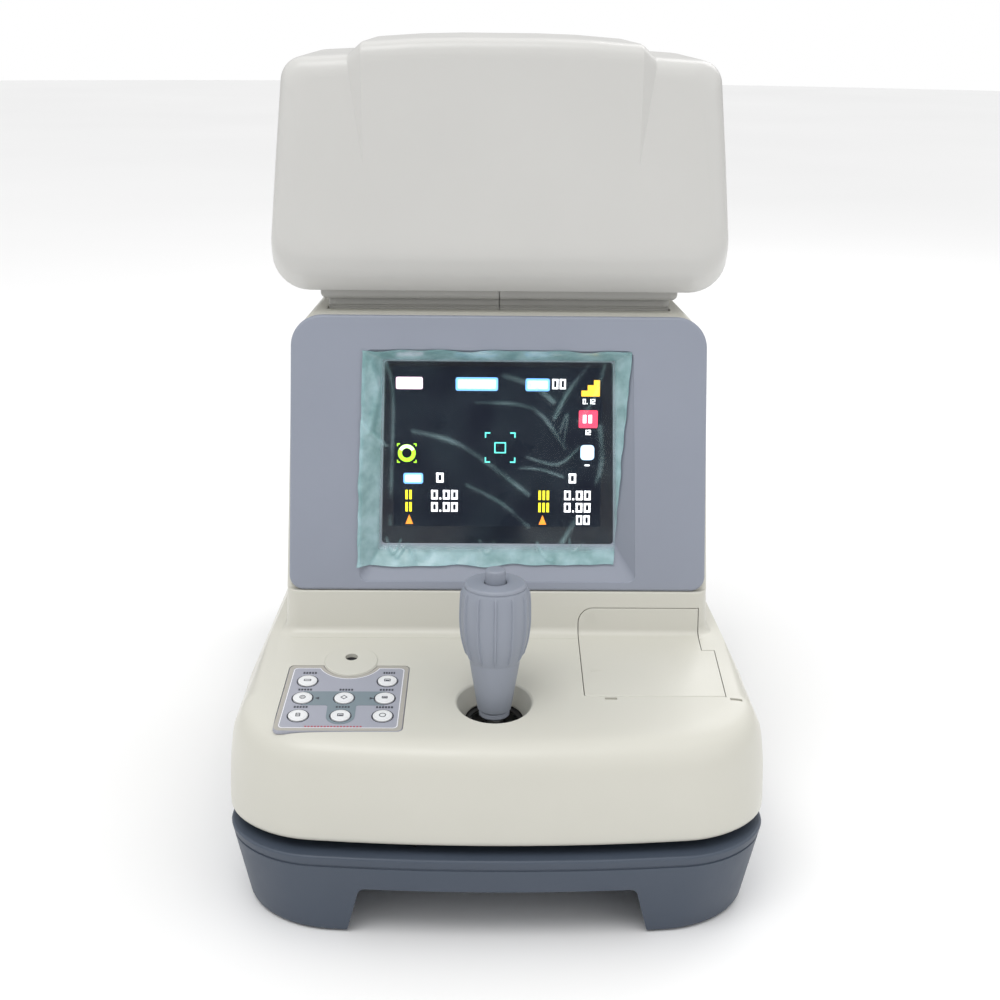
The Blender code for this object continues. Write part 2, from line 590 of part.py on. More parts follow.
def make_stage_housing():
    housing = solid("stage_housing", stage_body(), CREAM)
    strip_top = FOOT_Z + STRIP_HEIGHT
    tower = [tower_front_ring(104), tower_front_ring(strip_top),
             tower_front_ring(strip_top + 0.01, BEZEL_SEAT),
             tower_front_ring(TOWER_SHOULDER, BEZEL_SEAT),
             tower_front_ring(TOWER_TOP, BEZEL_SEAT, TOWER_CHAMFER)]
    join(housing, loft(tower))
    tool(housing, stage_hollow())
    inside = [tower_front_ring(z, BEZEL_SEAT, chamfer, 305.0, STAGE_WALL)
              for z, chamfer in ((80, 0), (TOWER_SHOULDER, 0), (TOWER_TOP - 3, TOWER_CHAMFER - 2))]
    tool(housing, loft(inside))
    tool(housing, neck_opening(270, 310))
    frame_hole = [[face_point(x, up, inward) for x, up in rounded_box(-82, 82, 28, 164, 6)]
                  for inward in (-4.0, 24.0)]
    tool(housing, loft(frame_hole))

    cone = [[deck_point(STICK_X + a * r, STICK_D + b * r, rise) for a, b in circle(1.0, 28)]
            for r, rise in ((WELL_THROAT + 2.5, -WELL_DEPTH), (WELL_RIM + 2.5, -1.0))]
    join(housing, loft(cone))
    cone = [[deck_point(STICK_X + a * r, STICK_D + b * r, rise) for a, b in circle(1.0, 28)]
            for r, rise in ((WELL_THROAT, -WELL_DEPTH - 3), (WELL_THROAT, -WELL_DEPTH + 1),
                            (WELL_RIM, 0.0), (WELL_RIM + 2, 5.0))]
    tool(housing, loft(cone))

    lid_gap = [(LID_FRONT - 1, 80), (145, 80), (145, LID_TOP_Z + 0.5), (110, LID_TOP_Z + 0.5),
               (LID_FRONT - 1, 122)]
    tool(housing, side_prism(lid_gap, LID_LEFT - 0.4, LID_RIGHT + 0.4))
    tool(housing, box((100, LID_FRONT - 1, 90), (LID_DECK_RIGHT + 0.4, LID_STEP_D + 0.4, 122)))
    corners = [(x, d, 3.0) for x, d in PAD_CORNERS]
    edge = outline(corners, 3)
    middle = (sum(x for x, d in edge) / len(edge), sum(d for x, d in edge) / len(edge))
    wide = [(x + math.copysign(0.3, x - middle[0]), d + math.copysign(0.3, d - middle[1]))
            for x, d in edge]
    tool(housing, loft([[deck_point(x, d, rise) for x, d in wide] for rise in (-PAD_RECESS, 4.0)]))
    tool(housing, turned([(3.6, -12), (3.6, 12)], (LOCK_X, LOCK_D + 3, deck_z(LOCK_D))))


def make_tower_rear_cover():
    rings = [tower_rear_ring(100), tower_rear_ring(TOWER_SHOULDER),
             tower_rear_ring(TOWER_TOP, TOWER_CHAMFER)]
    cover = solid("tower_rear_cover", loft(rings), CREAM)
    rings = [tower_rear_ring(z, chamfer, 228, STAGE_WALL)
             for z, chamfer in ((90, 0), (TOWER_SHOULDER, 0), (TOWER_TOP - 3, TOWER_CHAMFER - 2))]
    tool(cover, loft(rings))
    tool(cover, neck_opening(270, 310))
    tool(cover, box((-150, 220, 70), (150, 370, deck_z(370) + 0.35)))


def make_stage_plate():
    low, high = STAGE_PLATE
    plan = bowed_plan(126, 20, 336, 34, 24, 10)
    plate = solid("stage_plate", prism(plan, low, high), ALLOY)
    tool(plate, turned([(17.5, -10), (17.5, 10)], (STICK_X, STICK_D, low), count=24))


def make_monitor():
    def frame(half_low, half_high, low, high, inward, radius_low, radius_high):
        corners = [(half_low, low, radius_low), (half_high, high, radius_high),
                   (-half_high, high, radius_high), (-half_low, low, radius_low)]
        return [face_point(x, up, inward) for x, up in outline(corners, 4)]

    back = BEZEL_SEAT - GAP
    top = STRIP_HEIGHT + 152.4
    low = STRIP_HEIGHT + 0.8
    rings = [frame(115.4, 112.6, low, top, back, 5, 17), frame(115.4, 112.6, low, top, 1.2, 5, 17),
             frame(114.4, 111.6, low + 1, top - 1, 0.0, 5, 17),
             frame(76.2, 72.6, 27.5 + 2, 157.2, 0.0, 4, 4), frame(64.6, 62.6, 49.0, 150.6, 10.0, 2, 2),
             frame(67.0, 65.0, 46.6, 153.0, 10.0, 2, 2), frame(79.0, 75.4, 32.2, 160.0, back, 4, 4)]
    solid("monitor_bezel", loft(rings, closed=True), BEZEL_BLUE)
    rings = [frame(68, 68, 44, 156, 10 + GAP, 2, 2), frame(68, 68, 44, 156, 17, 2, 2)]
    solid("lcd_panel", loft(rings), GLASS_BLACK)


def half_frame(side, grow, low, high):
    """Left or right half of a rectangular tube round the neck."""
    outer_x, inner_x = NECK_HALF + grow, NECK_HALF + grow - NECK_WALL
    front, back = NECK_FRONT - grow, NECK_BACK + grow
    plan = [(0.2, front), (outer_x - 3, front), (outer_x, front + 3), (outer_x, back - 3),
            (outer_x - 3, back), (0.2, back), (0.2, back - NECK_WALL), (inner_x, back - NECK_WALL),
            (inner_x, front + NECK_WALL), (0.2, front + NECK_WALL)]
    return prism([(side * x, d) for x, d in plan], low, high)


def make_neck():
    for name, side in (("left", -1), ("right", 1)):
        solid("neck_collar_" + name, half_frame(side, 0.0, 287.0, 329.0), NECK_GREY)
        skirt = half_frame(side, SKIRT_OUT, 299.4, 312.0)
        solid("neck_skirt_" + name, skirt, NECK_GREY)


def make_keypad():
    rings = [[deck_point(x, d, rise) for x, d in outline([(x, d, 3.0) for x, d in PAD_CORNERS], 3)]
             for rise in (-PAD_RECESS + GAP, -PAD_RECESS + GAP + PAD_THICK)]
    panel = solid("keypad_panel", loft(rings), PAD_LILAC)
    for x, d in KEYS.values():
        tool(panel, loft([[deck_point(x + a, d + b, rise) for a, b in circle(KEY_RADIUS + 0.3)]
                          for rise in (-4.0, 3.0)]))
    for name, (x, d) in KEYS.items():
        rings = [[deck_point(x + a * share, d + b * share, rise)
                  for a, b in circle(KEY_RADIUS)]
                 for share, rise in ((1.0, -1.2), (1.0, 0.5), (0.92, 0.8))]
        solid(name, loft(rings), KEY_WHITE, deck_point(x, d))
    head = deck_z(LOCK_D)
    screw = [(2.4, 61.0), (2.4, head - 6), (3.0, head - 5.7), (3.0, head - 1.4)]
    solid("stage_lock_screw", turned(screw, (LOCK_X, LOCK_D + 3, 0.0), count=12), STEEL)


def make_printer():
    hinge = (LID_LEFT, LID_AXIS_D, deck_z(LID_AXIS_D) - 1.2)
    lid = solid("printer_lid", side_prism(lid_profile(), LID_LEFT, LID_RIGHT), CREAM, hinge)
    flap = [(LID_FRONT, deck_z(LID_FRONT) - LID_THICK), (LID_STEP_D, deck_z(LID_STEP_D) - LID_THICK),
            (LID_STEP_D, deck_z(LID_STEP_D)), (LID_FRONT, deck_z(LID_FRONT))]
    join(lid, side_prism(flap, LID_RIGHT - 20, LID_DECK_RIGHT))
    x0, x1, d0, d1, low, high = BAY
    outer, inner = rounded_box(x0, x1, d0, d1, 3, 2), rounded_box(x0 + 2, x1 - 2, d0 + 2, d1 - 2, 1.5, 2)
    rings = [[(x, d, z) for x, d in plan] for plan, z in
             ((outer, low), (outer, high), (inner, high), (inner, low + 2))]
    solid("printer_frame", loft(rings), BLACK)
    roll = (82.0, ROLL_D, ROLL_Z)
    profile = [(6.5, -29), (ROLL_RADIUS, -29), (ROLL_RADIUS, 29), (6.5, 29)]
    solid("paper_roll", turned(profile, roll, "x", 24, bored=True), PAPER, roll)
    platen = (82.0, 119.0, 107.0)
    profile = [(2.0, -32), (2.0, -29.5), (4.0, -29.5), (4.0, 29.5), (2.0, 29.5), (2.0, 32)]
    solid("platen_roller", turned(profile, platen, "x"), RUBBER, platen)


# ---- lift ---------------------------------------------------------------------------------
def make_lift():
    floor = STAGE_PLATE[1] + GAP
    motor = rounded_box(-21, 21, LIFT_D - 21, LIFT_D + 21, 4, 2)
    solid("lift_motor", prism(motor, floor, 100), BLACK)
    for side, x in (("left", -ROD_X), ("right", ROD_X)):
        rod = [(ROD_RADIUS, floor), (ROD_RADIUS, 326), (ROD_RADIUS - 1, 327)]
        solid("lift_rod_" + side, turned(rod, (x, LIFT_D, 0)), STEEL)
    screw = (0, LIFT_D, 0)
    profile = [(SCREW_RADIUS, 100 + GAP), (SCREW_RADIUS, 325), (SCREW_RADIUS - 1, 326)]
    solid("lift_screw", turned(profile, screw), BRASS, (0, LIFT_D, 100))

    board = solid("main_board", box((-122, 140, 64), (-34, 226, 65.6)), BOARD)
    for x, d, wide, deep, tall in ((-112, 150, 22, 22, 4), (-80, 156, 16, 16, 3),
                                   (-60, 190, 20, 12, 9), (-110, 196, 30, 14, 12)):
        join(board, box((x, d, 65), (x + wide, d + deep, 65.6 + tall)))


# ---- measuring head -----------------------------------------------------------------------
def head_half(z):
    return HEAD_HALF_AT_CHIN + (HEAD_CHIN - z) * HEAD_SIDE_LEAN


def head_ring(d, inset=0.0, bottom=HEAD_BOTTOM, corner=20.0):
    """Cross-section of the head: sloping sides, low shoulders and a raised hood."""
    crown = [(HOOD_STEP_OUT, SHOULDER_Z, 1.2), (HOOD_STEP_IN, HOOD_EDGE_Z, 1.6),
             (46.0, HOOD_EDGE_Z + 1.9, 0), (22.0, HEAD_TOP - 0.2, 0)]
    right = [(head_half(bottom) - inset, bottom + inset, corner),
             (head_half(SHOULDER_LOW_Z) - inset, SHOULDER_LOW_Z - inset, 12.0)]
    right += [(x, z - inset, r) for x, z, r in crown]
    corners = right + [(-x, z, r) for x, z, r in reversed(right)]
    return [(x, d, z) for x, z in outline(corners, 3)]


def make_head_covers():
    rings = [head_ring(HEAD_FRONT, 7.0, HEAD_CHIN - 2, 12), head_ring(HEAD_FRONT + 2, 2.6, 321, 16),
             head_ring(HEAD_FRONT + 6, 0.6, 315.5, 19), head_ring(HEAD_FRONT + 18, 0, HEAD_BOTTOM),
             head_ring(HEAD_SPLIT)]
    cover = solid("head_front_cover", loft(rings), HEAD_GREY)
    inside = [head_ring(HEAD_FRONT + 3.5, 8.0, HEAD_CHIN, 12), head_ring(HEAD_FRONT + 19, 3.2, HEAD_BOTTOM),
              head_ring(HEAD_SPLIT + 9, 3.2)]
    tool(cover, loft(inside))
    tool(cover, neck_opening(298, 316, SKIRT_OUT + 0.4))

    rings = [head_ring(HEAD_SPLIT + GAP), head_ring(330, 1.5), head_ring(372, 6.0), head_ring(388, 12.0),
             head_ring(HEAD_BACK, 22.0)]
    cover = solid("head_rear_cover", loft(rings), HEAD_GREY)
    inside = [head_ring(HEAD_SPLIT - 9, 3.2), head_ring(330, 4.8), head_ring(371, 9.4),
              head_ring(385, 15.4), head_ring(HEAD_BACK - 3.5, 25)]
    tool(cover, loft(inside))
    tool(cover, neck_opening(298, 316, SKIRT_OUT + 0.4))
    bore = turned([(27.3, -30), (27.3, 30)], (0, HEAD_BACK, AXIS_Z), "y", 32)
    tool(cover, bore)


def make_optics():
    bench = solid("optical_bench", box((-78, 176, 335), (78, 376, 339)), ALLOY)
    for x, radius in ((-ROD_X, 8.5), (0, 8.5), (ROD_X, 8.5)):
        join(bench, turned([(radius, 240), (radius, 337)], (x, LIFT_D, 0)))
    for x, radius in ((-ROD_X, ROD_RADIUS), (0, SCREW_RADIUS), (ROD_X, ROD_RADIUS)):
        tool(bench, turned([(radius + 0.5, 230), (radius + 0.5, 350)], (x, LIFT_D, 0)))
    axis = (0, 0, AXIS_Z)
    tube = [(16, 196), (18, 198), (18, 300), (16, 302), (16, 330), (18.5, 332), (18.5, 386)]
    solid("optical_tube", turned(tube, axis, "y", 24), BLACK)
    ring = [(20, 388), (27, 388), (27, 399), (25, 402), (19, 404), (19, 400), (20, 398)]
    solid("kerato_ring", turned(ring, axis, "y", 32, bored=True), BLACK)
    lens = [(17.5, 389), (18.4, 390), (18.4, 394), (17, 396.5), (10, 398)]
    solid("measuring_window", turned(lens, axis, "y", 32), GLASS_BLACK)


# ---- joystick -----------------------------------------------------------------------------
def make_joystick():
    pivot = (STICK_X, STICK_D, BALL_Z)
    ring = [(12.0, -3), (15.0, -3), (15.0, 3), (12.0, 3)]
    solid("joystick_cradle", turned(ring, pivot, "z", 24, bored=True), STEEL, pivot)
    ball = [(BALL_RADIUS * math.cos(a), BALL_RADIUS * math.sin(a))
            for a in (math.radians(-80 + 20 * k) for k in range(8))]
    ball = [(r, h) for r, h in ball if h < 8.5]
    stem = ball + [(5.0, 9.8), (5.0, 40.0), (4.0, 41.0), (4.0, 105.0)]
    solid("joystick_stem", turned(stem, pivot, "z", 16), STEEL, pivot)

    bore, recess = 4.6, BUTTON_RADIUS + 0.5
    outside = [(7.9, GRIP_BOTTOM - 3.5), (7.9, GRIP_BOTTOM - 0.5), (8.7, GRIP_BOTTOM), (12.9, 132),
               (13.9, 135), (17.4, 152), (17.0, 168), (15.9, 173), (14.6, GRIP_TOP)]
    inside = [(recess, GRIP_TOP), (recess, 167.5), (bore, 167.0), (bore, GRIP_BOTTOM - 3.5)]
    profile = [(r, z - BALL_Z) for r, z in outside + inside]
    solid("joystick_grip", turned(profile, pivot, "z", 24, bored=True), STICK_BLUE, pivot)
    button = [(BUTTON_RADIUS, 170.8), (BUTTON_RADIUS, BUTTON_TOP - 0.9), (BUTTON_RADIUS - 1.0, BUTTON_TOP)]
    button = [(r, z - BALL_Z) for r, z in button]
    solid("joystick_button", turned(button, pivot, "z", 20), STICK_BLUE, (STICK_X, STICK_D, GRIP_TOP))


def main():
    for old in list(bpy.data.objects):
        bpy.data.objects.remove(old)
    make_base_housing()
    make_base_plate()
    make_feet()
    make_racks()
    make_friction_plate()
    make_power_inlet()
    make_power_switch()
    make_face_rest()
    make_chin_rest()
    make_cross_slide()
    make_stage_housing()
    make_tower_rear_cover()
    make_stage_plate()
    make_monitor()
    make_neck()
    make_keypad()
    make_printer()
    make_lift()
    make_head_covers()
    make_optics()
    make_joystick()


main()
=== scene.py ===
"""Looks of the autorefractor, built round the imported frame.

Lengths are millimetres. A point is (x, d, z), where d is the distance behind the front edge of
the base, and place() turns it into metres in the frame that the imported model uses.
"""
import json
import math

import bmesh
import bpy
from mathutils import Matrix, Vector, noise


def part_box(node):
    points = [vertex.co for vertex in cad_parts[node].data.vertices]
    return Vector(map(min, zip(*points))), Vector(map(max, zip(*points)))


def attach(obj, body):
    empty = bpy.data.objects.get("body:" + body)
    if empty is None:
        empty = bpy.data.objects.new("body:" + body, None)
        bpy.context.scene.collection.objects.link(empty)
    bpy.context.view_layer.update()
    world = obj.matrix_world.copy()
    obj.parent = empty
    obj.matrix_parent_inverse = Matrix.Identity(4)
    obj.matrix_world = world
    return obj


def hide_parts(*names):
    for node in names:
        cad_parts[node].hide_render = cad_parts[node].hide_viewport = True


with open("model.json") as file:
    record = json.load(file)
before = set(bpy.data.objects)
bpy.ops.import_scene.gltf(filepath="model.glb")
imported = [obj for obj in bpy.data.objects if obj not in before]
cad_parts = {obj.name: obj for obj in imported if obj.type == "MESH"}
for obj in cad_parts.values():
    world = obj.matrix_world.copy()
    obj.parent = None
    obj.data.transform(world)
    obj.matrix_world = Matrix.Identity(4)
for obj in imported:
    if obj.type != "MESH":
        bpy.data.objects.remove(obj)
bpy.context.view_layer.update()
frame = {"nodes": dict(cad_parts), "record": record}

BASE_LOW, BASE_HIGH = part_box("base_housing")
MM = 0.001
GAP = 0.3
MIDDLE_X = (BASE_LOW.x + BASE_HIGH.x) / 2
SLOTS = {s["node"]: s["material_slot"] for s in frame["record"]["subparts"]}

# ---- driving dimensions, as in the CAD ----------------------------------------------------
LENGTH = 480.0
FRONT_Y = (BASE_LOW.y + BASE_HIGH.y - LENGTH * MM) / 2
STAGE_HALF, FRONT_RADIUS, REAR_RADIUS = 140.0, 44.0, 30.0
FRONT_BOW, BOW_FADE = 12.0, 90.0
BASE_HALF, BASE_TOP, BASE_WALL, BASE_FLOOR, BASE_TAPER = 139.5, 47.0, 3.0, 5.0, 8.5
NOTCH_TOP, NOTCH_HALF_TOP, NOTCH_HALF_BOTTOM = 28.0, 70.0, 77.5
WELL_HALF, WELL_FRONT, WELL_BACK = 92.0, 112.0, 340.0
SIDE_ARCH_TOP = 13.0
STAGE_BOTTOM, STAGE_BACK, STAGE_WALL, DECK_WALL = 52.5, 350.0, 3.0, 4.0
DECK_CREST_D, DECK_CREST_Z, DECK_TILT = 14.0, 103.0, math.radians(8.3)
SIDE_LEAN_Z, SIDE_LEAN, REAR_TAPER_D, REAR_TAPER = 90.0, 0.48, 110.0, 0.035
FACE_TILT = math.radians(8.15)
FOOT_D, FOOT_Z = 123.1, 119.1
TOWER_HALF_LOW, TOWER_HALF_TOP, TOWER_TOP = 118.0, 112.6, 297.0
TOWER_SPLIT, TOWER_BACK = 240.0, 345.0
TOWER_SHOULDER, TOWER_CHAMFER, FRONT_SHARE = 281.5, 14.0, 0.64
TOWER_TAPER_D, TOWER_TAPER, TOWER_TOP_HALF = 152.0, 0.055, 96.6
TOWER_SHOWN_TOP = 293.5                 # the moulded rim ends a little below the solid's top
STRIP_HEIGHT, BEZEL_SEAT, GLASS_INWARD = 23.6, 4.0, 10.3
NECK_HALF, NECK_FRONT, NECK_BACK, NECK_WALL, SKIRT_OUT = 94.0, 166.0, 322.0, 2.5, 4.0
HEAD_FRONT, HEAD_SPLIT, HEAD_BACK = 140.0, 250.0, 396.0
HEAD_BOTTOM, HEAD_TOP, HEAD_CHIN = 305.0, 437.8, 325.0
HEAD_HALF_AT_CHIN, HEAD_SIDE_LEAN = 122.7, 0.088
SHOULDER_LOW_Z, SHOULDER_Z = 426.6, 428.6
HOOD_STEP_OUT, HOOD_STEP_IN, HOOD_EDGE_Z = 79.5, 72.0, 435.0
WEDGE_X, WEDGE_Z, WEDGE_DEPTH = 72.0, 374.0, 4.5   # where the hood's edge dies out on the face
AXIS_Z = 358.0
STICK_X, STICK_D = -2.0, 55.4
WELL_RIM, WELL_THROAT, WELL_DEPTH = 20.0, 15.2, 11.0
KEY_RADIUS, KEY_GAP, KEY_FACE = 5.0, 0.35, 0.74
KEYS = {"key_reset": (-100.5, 73.5), "key_menu": (-58.4, 73.8), "key_side": (-101.5, 57.4),
        "key_step": (-80.0, 57.4), "key_auto": (-58.9, 57.4), "key_print": (-102.2, 41.2),
        "key_data": (-80.6, 41.2), "key_display": (-59.1, 41.2)}
PAD_CORNERS = ((-113.9, 27.9), (-48.6, 27.9), (-47.3, 88.9), (-111.2, 88.9))
PAD_RECESS = 2.3
BOSS_X, BOSS_D, BOSS_RADIUS, HOLE_D = -79.0, 93.5, 14.4, 96.5
LID_LEFT, LID_RIGHT, LID_DECK_RIGHT = 45.4, 112.0, 119.0
LID_FRONT, LID_STEP_D, LID_TOP_Z, LID_THICK = 60.6, 106.0, 133.4, 2.5
LID_GAP = 0.45
COLUMN_X, COLUMN_D, COLUMN_WIDE, COLUMN_DEEP = 115.0, 450.0, 12.0, 16.0
ARCH_TOP, ARCH_RADIUS = 412.0, 34.0
REST_FRONT, REST_BACK, REST_LOW, REST_HIGH = 385.0, 474.0, 47.3, 74.0
GUIDE_TOP, CUP_FLOOR = 190.0, 236.0


# ---- points and outlines ------------------------------------------------------------------
def place(point):
    x, d, z = point
    return Vector((MIDDLE_X + x * MM, FRONT_Y + d * MM, z * MM))


def deck_z(d):
    return DECK_CREST_Z + math.tan(DECK_TILT) * (min(d, FOOT_D) - DECK_CREST_D)


def deck_point(x, d, rise=0.0):
    return (x, d - rise * math.sin(DECK_TILT), deck_z(d) + rise * math.cos(DECK_TILT))


def face_point(x, up, inward=0.0):
    return (x, FOOT_D + up * math.sin(FACE_TILT) + inward * math.cos(FACE_TILT),
            FOOT_Z + up * math.cos(FACE_TILT) - inward * math.sin(FACE_TILT))


def face_d(z):
    return FOOT_D + (z - FOOT_Z) * math.tan(FACE_TILT)


def outline(corners, steps=8):
    """A closed outline with each (u, v, radius) corner rounded by an arc."""
    points = []
    for i, (u, v, radius) in enumerate(corners):
        here = Vector((u, v))
        if radius == 0:
            points.append((u, v))
            continue
        before = (Vector(corners[i - 1][:2]) - here).normalized()
        after = (Vector(corners[(i + 1) % len(corners)][:2]) - here).normalized()
        half = before.angle(after) / 2
        centre = here + (before + after).normalized() * (radius / math.sin(half))
        start = here + before * (radius / math.tan(half)) - centre
        end = here + after * (radius / math.tan(half)) - centre
        sweep = start.angle_signed(end)
        for k in range(steps + 1):
            points.append(tuple(centre + Matrix.Rotation(-sweep * k / steps, 2) @ start))
    return points


def rounded_box(low_u, high_u, low_v, high_v, radius, steps=8):
    return outline([(high_u, low_v, radius), (high_u, high_v, radius),
                    (low_u, high_v, radius), (low_u, low_v, radius)], steps)


def bowed_plan(half, front, back, front_radius, back_radius, bow, steps=14):
    corners = [(half, front, front_radius), (half, FOOT_D, 0), (half, back, back_radius),
               (-half, back, back_radius), (-half, FOOT_D, 0), (-half, front, front_radius)]
    points = outline(corners, steps)
    reach = half - front_radius
    points += [(reach * (k / 14 - 1), front) for k in range(1, 28)]
    return [(x, d + bow * (x / half) ** 2 * max(0.0, 1 - (d - front) / BOW_FADE))
            for x, d in points]


def circle(radius, count=96, phase=0.0):
    return [(radius * math.cos(2 * math.pi * k / count + phase),
             radius * math.sin(2 * math.pi * k / count + phase)) for k in range(count)]


def curve_through(points, count):
    """A smooth curve through tuples of numbers, as count + 1 tuples."""
    made, last = [], len(points) - 1
    for k in range(count + 1):
        t = k * last / count
        i = min(int(t), last - 1)
        u = t - i
        four = [points[min(max(i + j, 0), last)] for j in (-1, 0, 1, 2)]
        made.append(tuple(0.5 * (2 * b + (c - a) * u + (2 * a - 5 * b + 4 * c - e) * u ** 2
                                 + (3 * b - a - 3 * c + e) * u ** 3) for a, b, c, e in zip(*four)))
    return made


def smooth_rings(rings, count):
    flat = curve_through([tuple(v for p in ring for v in p) for ring in rings], count)
    return [[row[i:i + 3] for i in range(0, len(row), 3)] for row in flat]


# ---- shapes: each returns its points and faces --------------------------------------------
def loft(rings, closed=False, fold=None):
    size, levels = len(rings[0]), len(rings)
    faces = []
    for level in range(levels if closed else levels - 1):
        low, high = level * size, (level + 1) % levels * size
        for i in range(size):
            j = (i + 1) % size
            faces.append((low + i, low + j, high + j, high + i))
    if not closed:
        faces.append(tuple(reversed(range(size))))
        last = list(range((levels - 1) * size, levels * size))
        if fold:
            a, b = sorted(fold)
            faces += [tuple(last[a:b + 1]), tuple(last[b:] + last[:a + 1])]
        else:
            faces.append(tuple(last))
    return [p for ring in rings for p in ring], faces


def prism(plan, low, high):
    return loft([[(x, d, z) for x, d in plan] for z in (low, high)])


def side_prism(profile, left, right):
    return loft([[(x, d, z) for d, z in profile] for x in (left, right)])


def front_prism(profile, near, far):
    return loft([[(x, d, z) for x, z in profile] for d in (near, far)])


def box(low, high):
    (x0, d0, z0), (x1, d1, z1) = low, high
    return prism([(x1, d0), (x1, d1), (x0, d1), (x0, d0)], z0, z1)


def turned(profile, centre, axis="z", count=96, bored=False):
    rings = []
    for radius, height in profile:
        ring = []
        for a, b in circle(radius, count):
            offset = {"z": (a, b, height), "x": (height, a, b), "y": (a, height, b)}[axis]
            ring.append(tuple(c + o for c, o in zip(centre, offset)))
        rings.append(ring)
    return loft(rings, closed=bored)


def edge(radius, steps=5):
    """(inset, drop) pairs that round an edge, from the side up to the top."""
    turns = [math.pi / 2 * k / steps for k in range(steps + 1)]
    return [(radius * (1 - math.cos(t)), radius * (1 - math.sin(t))) for t in turns]


def merged(shapes):
    points, faces = [], []
    for more_points, more_faces in shapes:
        faces += [tuple(i + len(points) for i in face) for face in more_faces]
        points += more_points
    return points, faces


def sheet_on(surface, plan, low, high):
    """A thin raised shape with an outline on a surface, given by a function (u, v, height)."""
    return loft([[surface(u, v, height) for u, v in plan] for height in (low, high)])


def strip_on(surface, outer, inner, low, high):
    """A thin raised frame between two outlines with the same number of points."""
    order = ((outer, low), (outer, high), (inner, high), (inner, low))
    return loft([[surface(u, v, height) for u, v in plan] for plan, height in order], closed=True)


# ---- pieces -------------------------------------------------------------------------------
def raw(name, shape):
    points, faces = shape
    mesh = bpy.data.meshes.new(name)
    mesh.from_pydata([place(p) for p in points], [], faces)
    form = bmesh.new()
    form.from_mesh(mesh)
    bmesh.ops.recalc_face_normals(form, faces=form.faces)
    form.to_mesh(mesh)
    form.free()
    thing = bpy.data.objects.new(name, mesh)
    bpy.context.scene.collection.objects.link(thing)
    return thing


def settle(thing):
    """Applies the modifiers."""
    bpy.context.view_layer.update()
    graph = bpy.context.evaluated_depsgraph_get()
    mesh = bpy.data.meshes.new_from_object(thing.evaluated_get(graph), depsgraph=graph)
    thing.modifiers.clear()
    thing.data = mesh
    return thing


def combine(thing, other, operation="DIFFERENCE"):
    """Cuts a shape or another mesh out of this one, joins it on, or keeps what they share."""
    tool = other if isinstance(other, bpy.types.Object) else raw("tool", other)
    step = thing.modifiers.new("combine", "BOOLEAN")
    step.object = tool
    step.operation = operation
    step.solver = "EXACT"
    settle(thing)
    bpy.data.objects.remove(tool)
    return thing


def soften(thing, width=0.7, segments=3, angle=38):
    step = thing.modifiers.new("soften", "BEVEL")
    step.width = width * MM
    step.segments = segments
    step.limit_method = "ANGLE"
    step.angle_limit = math.radians(angle)
    step.use_clamp_overlap = True
    return settle(thing)


def finish_piece(thing, body, slot, replaces=(), material=None, angle=32):
    """Shades a piece, gives it its material and hangs it on its body."""
    thing.data.shade_smooth()
    thing.data.set_sharp_from_angle(angle=math.radians(angle))
    even = thing.modifiers.new("even", "WEIGHTED_NORMAL")
    even.keep_sharp = True
    settle(thing)
    thing.data.materials.clear()
    thing.data.materials.append(material or LOOKS[slot])
    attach(thing, body)
    if replaces:
        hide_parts(*replaces)
    return thing


def piece(name, shape, body, slot, replaces=(), material=None, angle=32):
    return finish_piece(raw(name, shape), body, slot, replaces, material, angle)


# ---- materials ----------------------------------------------------------------------------
class Graph:
    """A small helper that adds nodes to a material and links them."""

    def __init__(self, name):
        self.material = bpy.data.materials.new(name)
        self.material.use_nodes = True
        self.nodes = self.material.node_tree.nodes
        self.links = self.material.node_tree.links
        self.shader = self.nodes["Principled BSDF"]
        self.where = self.nodes.new("ShaderNodeTexCoord").outputs["Object"]

    def node(self, kind, **values):
        made = self.nodes.new(kind)
        for key, value in values.items():
            if key in made.inputs:
                made.inputs[key].default_value = value
            else:
                setattr(made, key, value)
        return made

    def noise(self, scale, detail=3.0, stretch=None):
        made = self.node("ShaderNodeTexNoise", Scale=scale, Detail=detail)
        if stretch:
            mapped = self.node("ShaderNodeMapping")
            mapped.inputs["Scale"].default_value = stretch
            self.links.new(self.where, mapped.inputs["Vector"])
            self.links.new(mapped.outputs["Vector"], made.inputs["Vector"])
        else:
            self.links.new(self.where, made.inputs["Vector"])
        return made.outputs["Fac"]

    def ramp(self, factor, stops):
        made = self.nodes.new("ShaderNodeValToRGB")
        ramp = made.color_ramp
        while len(ramp.elements) < len(stops):
            ramp.elements.new(0.5)
        for element, (position, colour) in zip(ramp.elements, stops):
            element.position = position
            element.color = (*colour, 1.0)
        self.links.new(factor, made.inputs["Fac"])
        return made.outputs["Color"]

    def spread(self, factor, low, high):
        made = self.node("ShaderNodeMapRange")
        made.inputs["From Min"].default_value = 0.3
        made.inputs["From Max"].default_value = 0.7
        made.inputs["To Min"].default_value = low
        made.inputs["To Max"].default_value = high
        self.links.new(factor, made.inputs["Value"])
        return made.outputs["Result"]

    def bump(self, height, distance, strength=1.0):
        made = self.node("ShaderNodeBump", Strength=strength, Distance=distance)
        self.links.new(height, made.inputs["Height"])
        self.links.new(made.outputs["Normal"], self.shader.inputs["Normal"])

    def set(self, **values):
        for key, value in values.items():
            self.shader.inputs[key.replace("_", " ")].default_value = value


def tinted(colour, share):
    return tuple(min(1.0, max(0.0, c * (1 + share))) for c in colour)


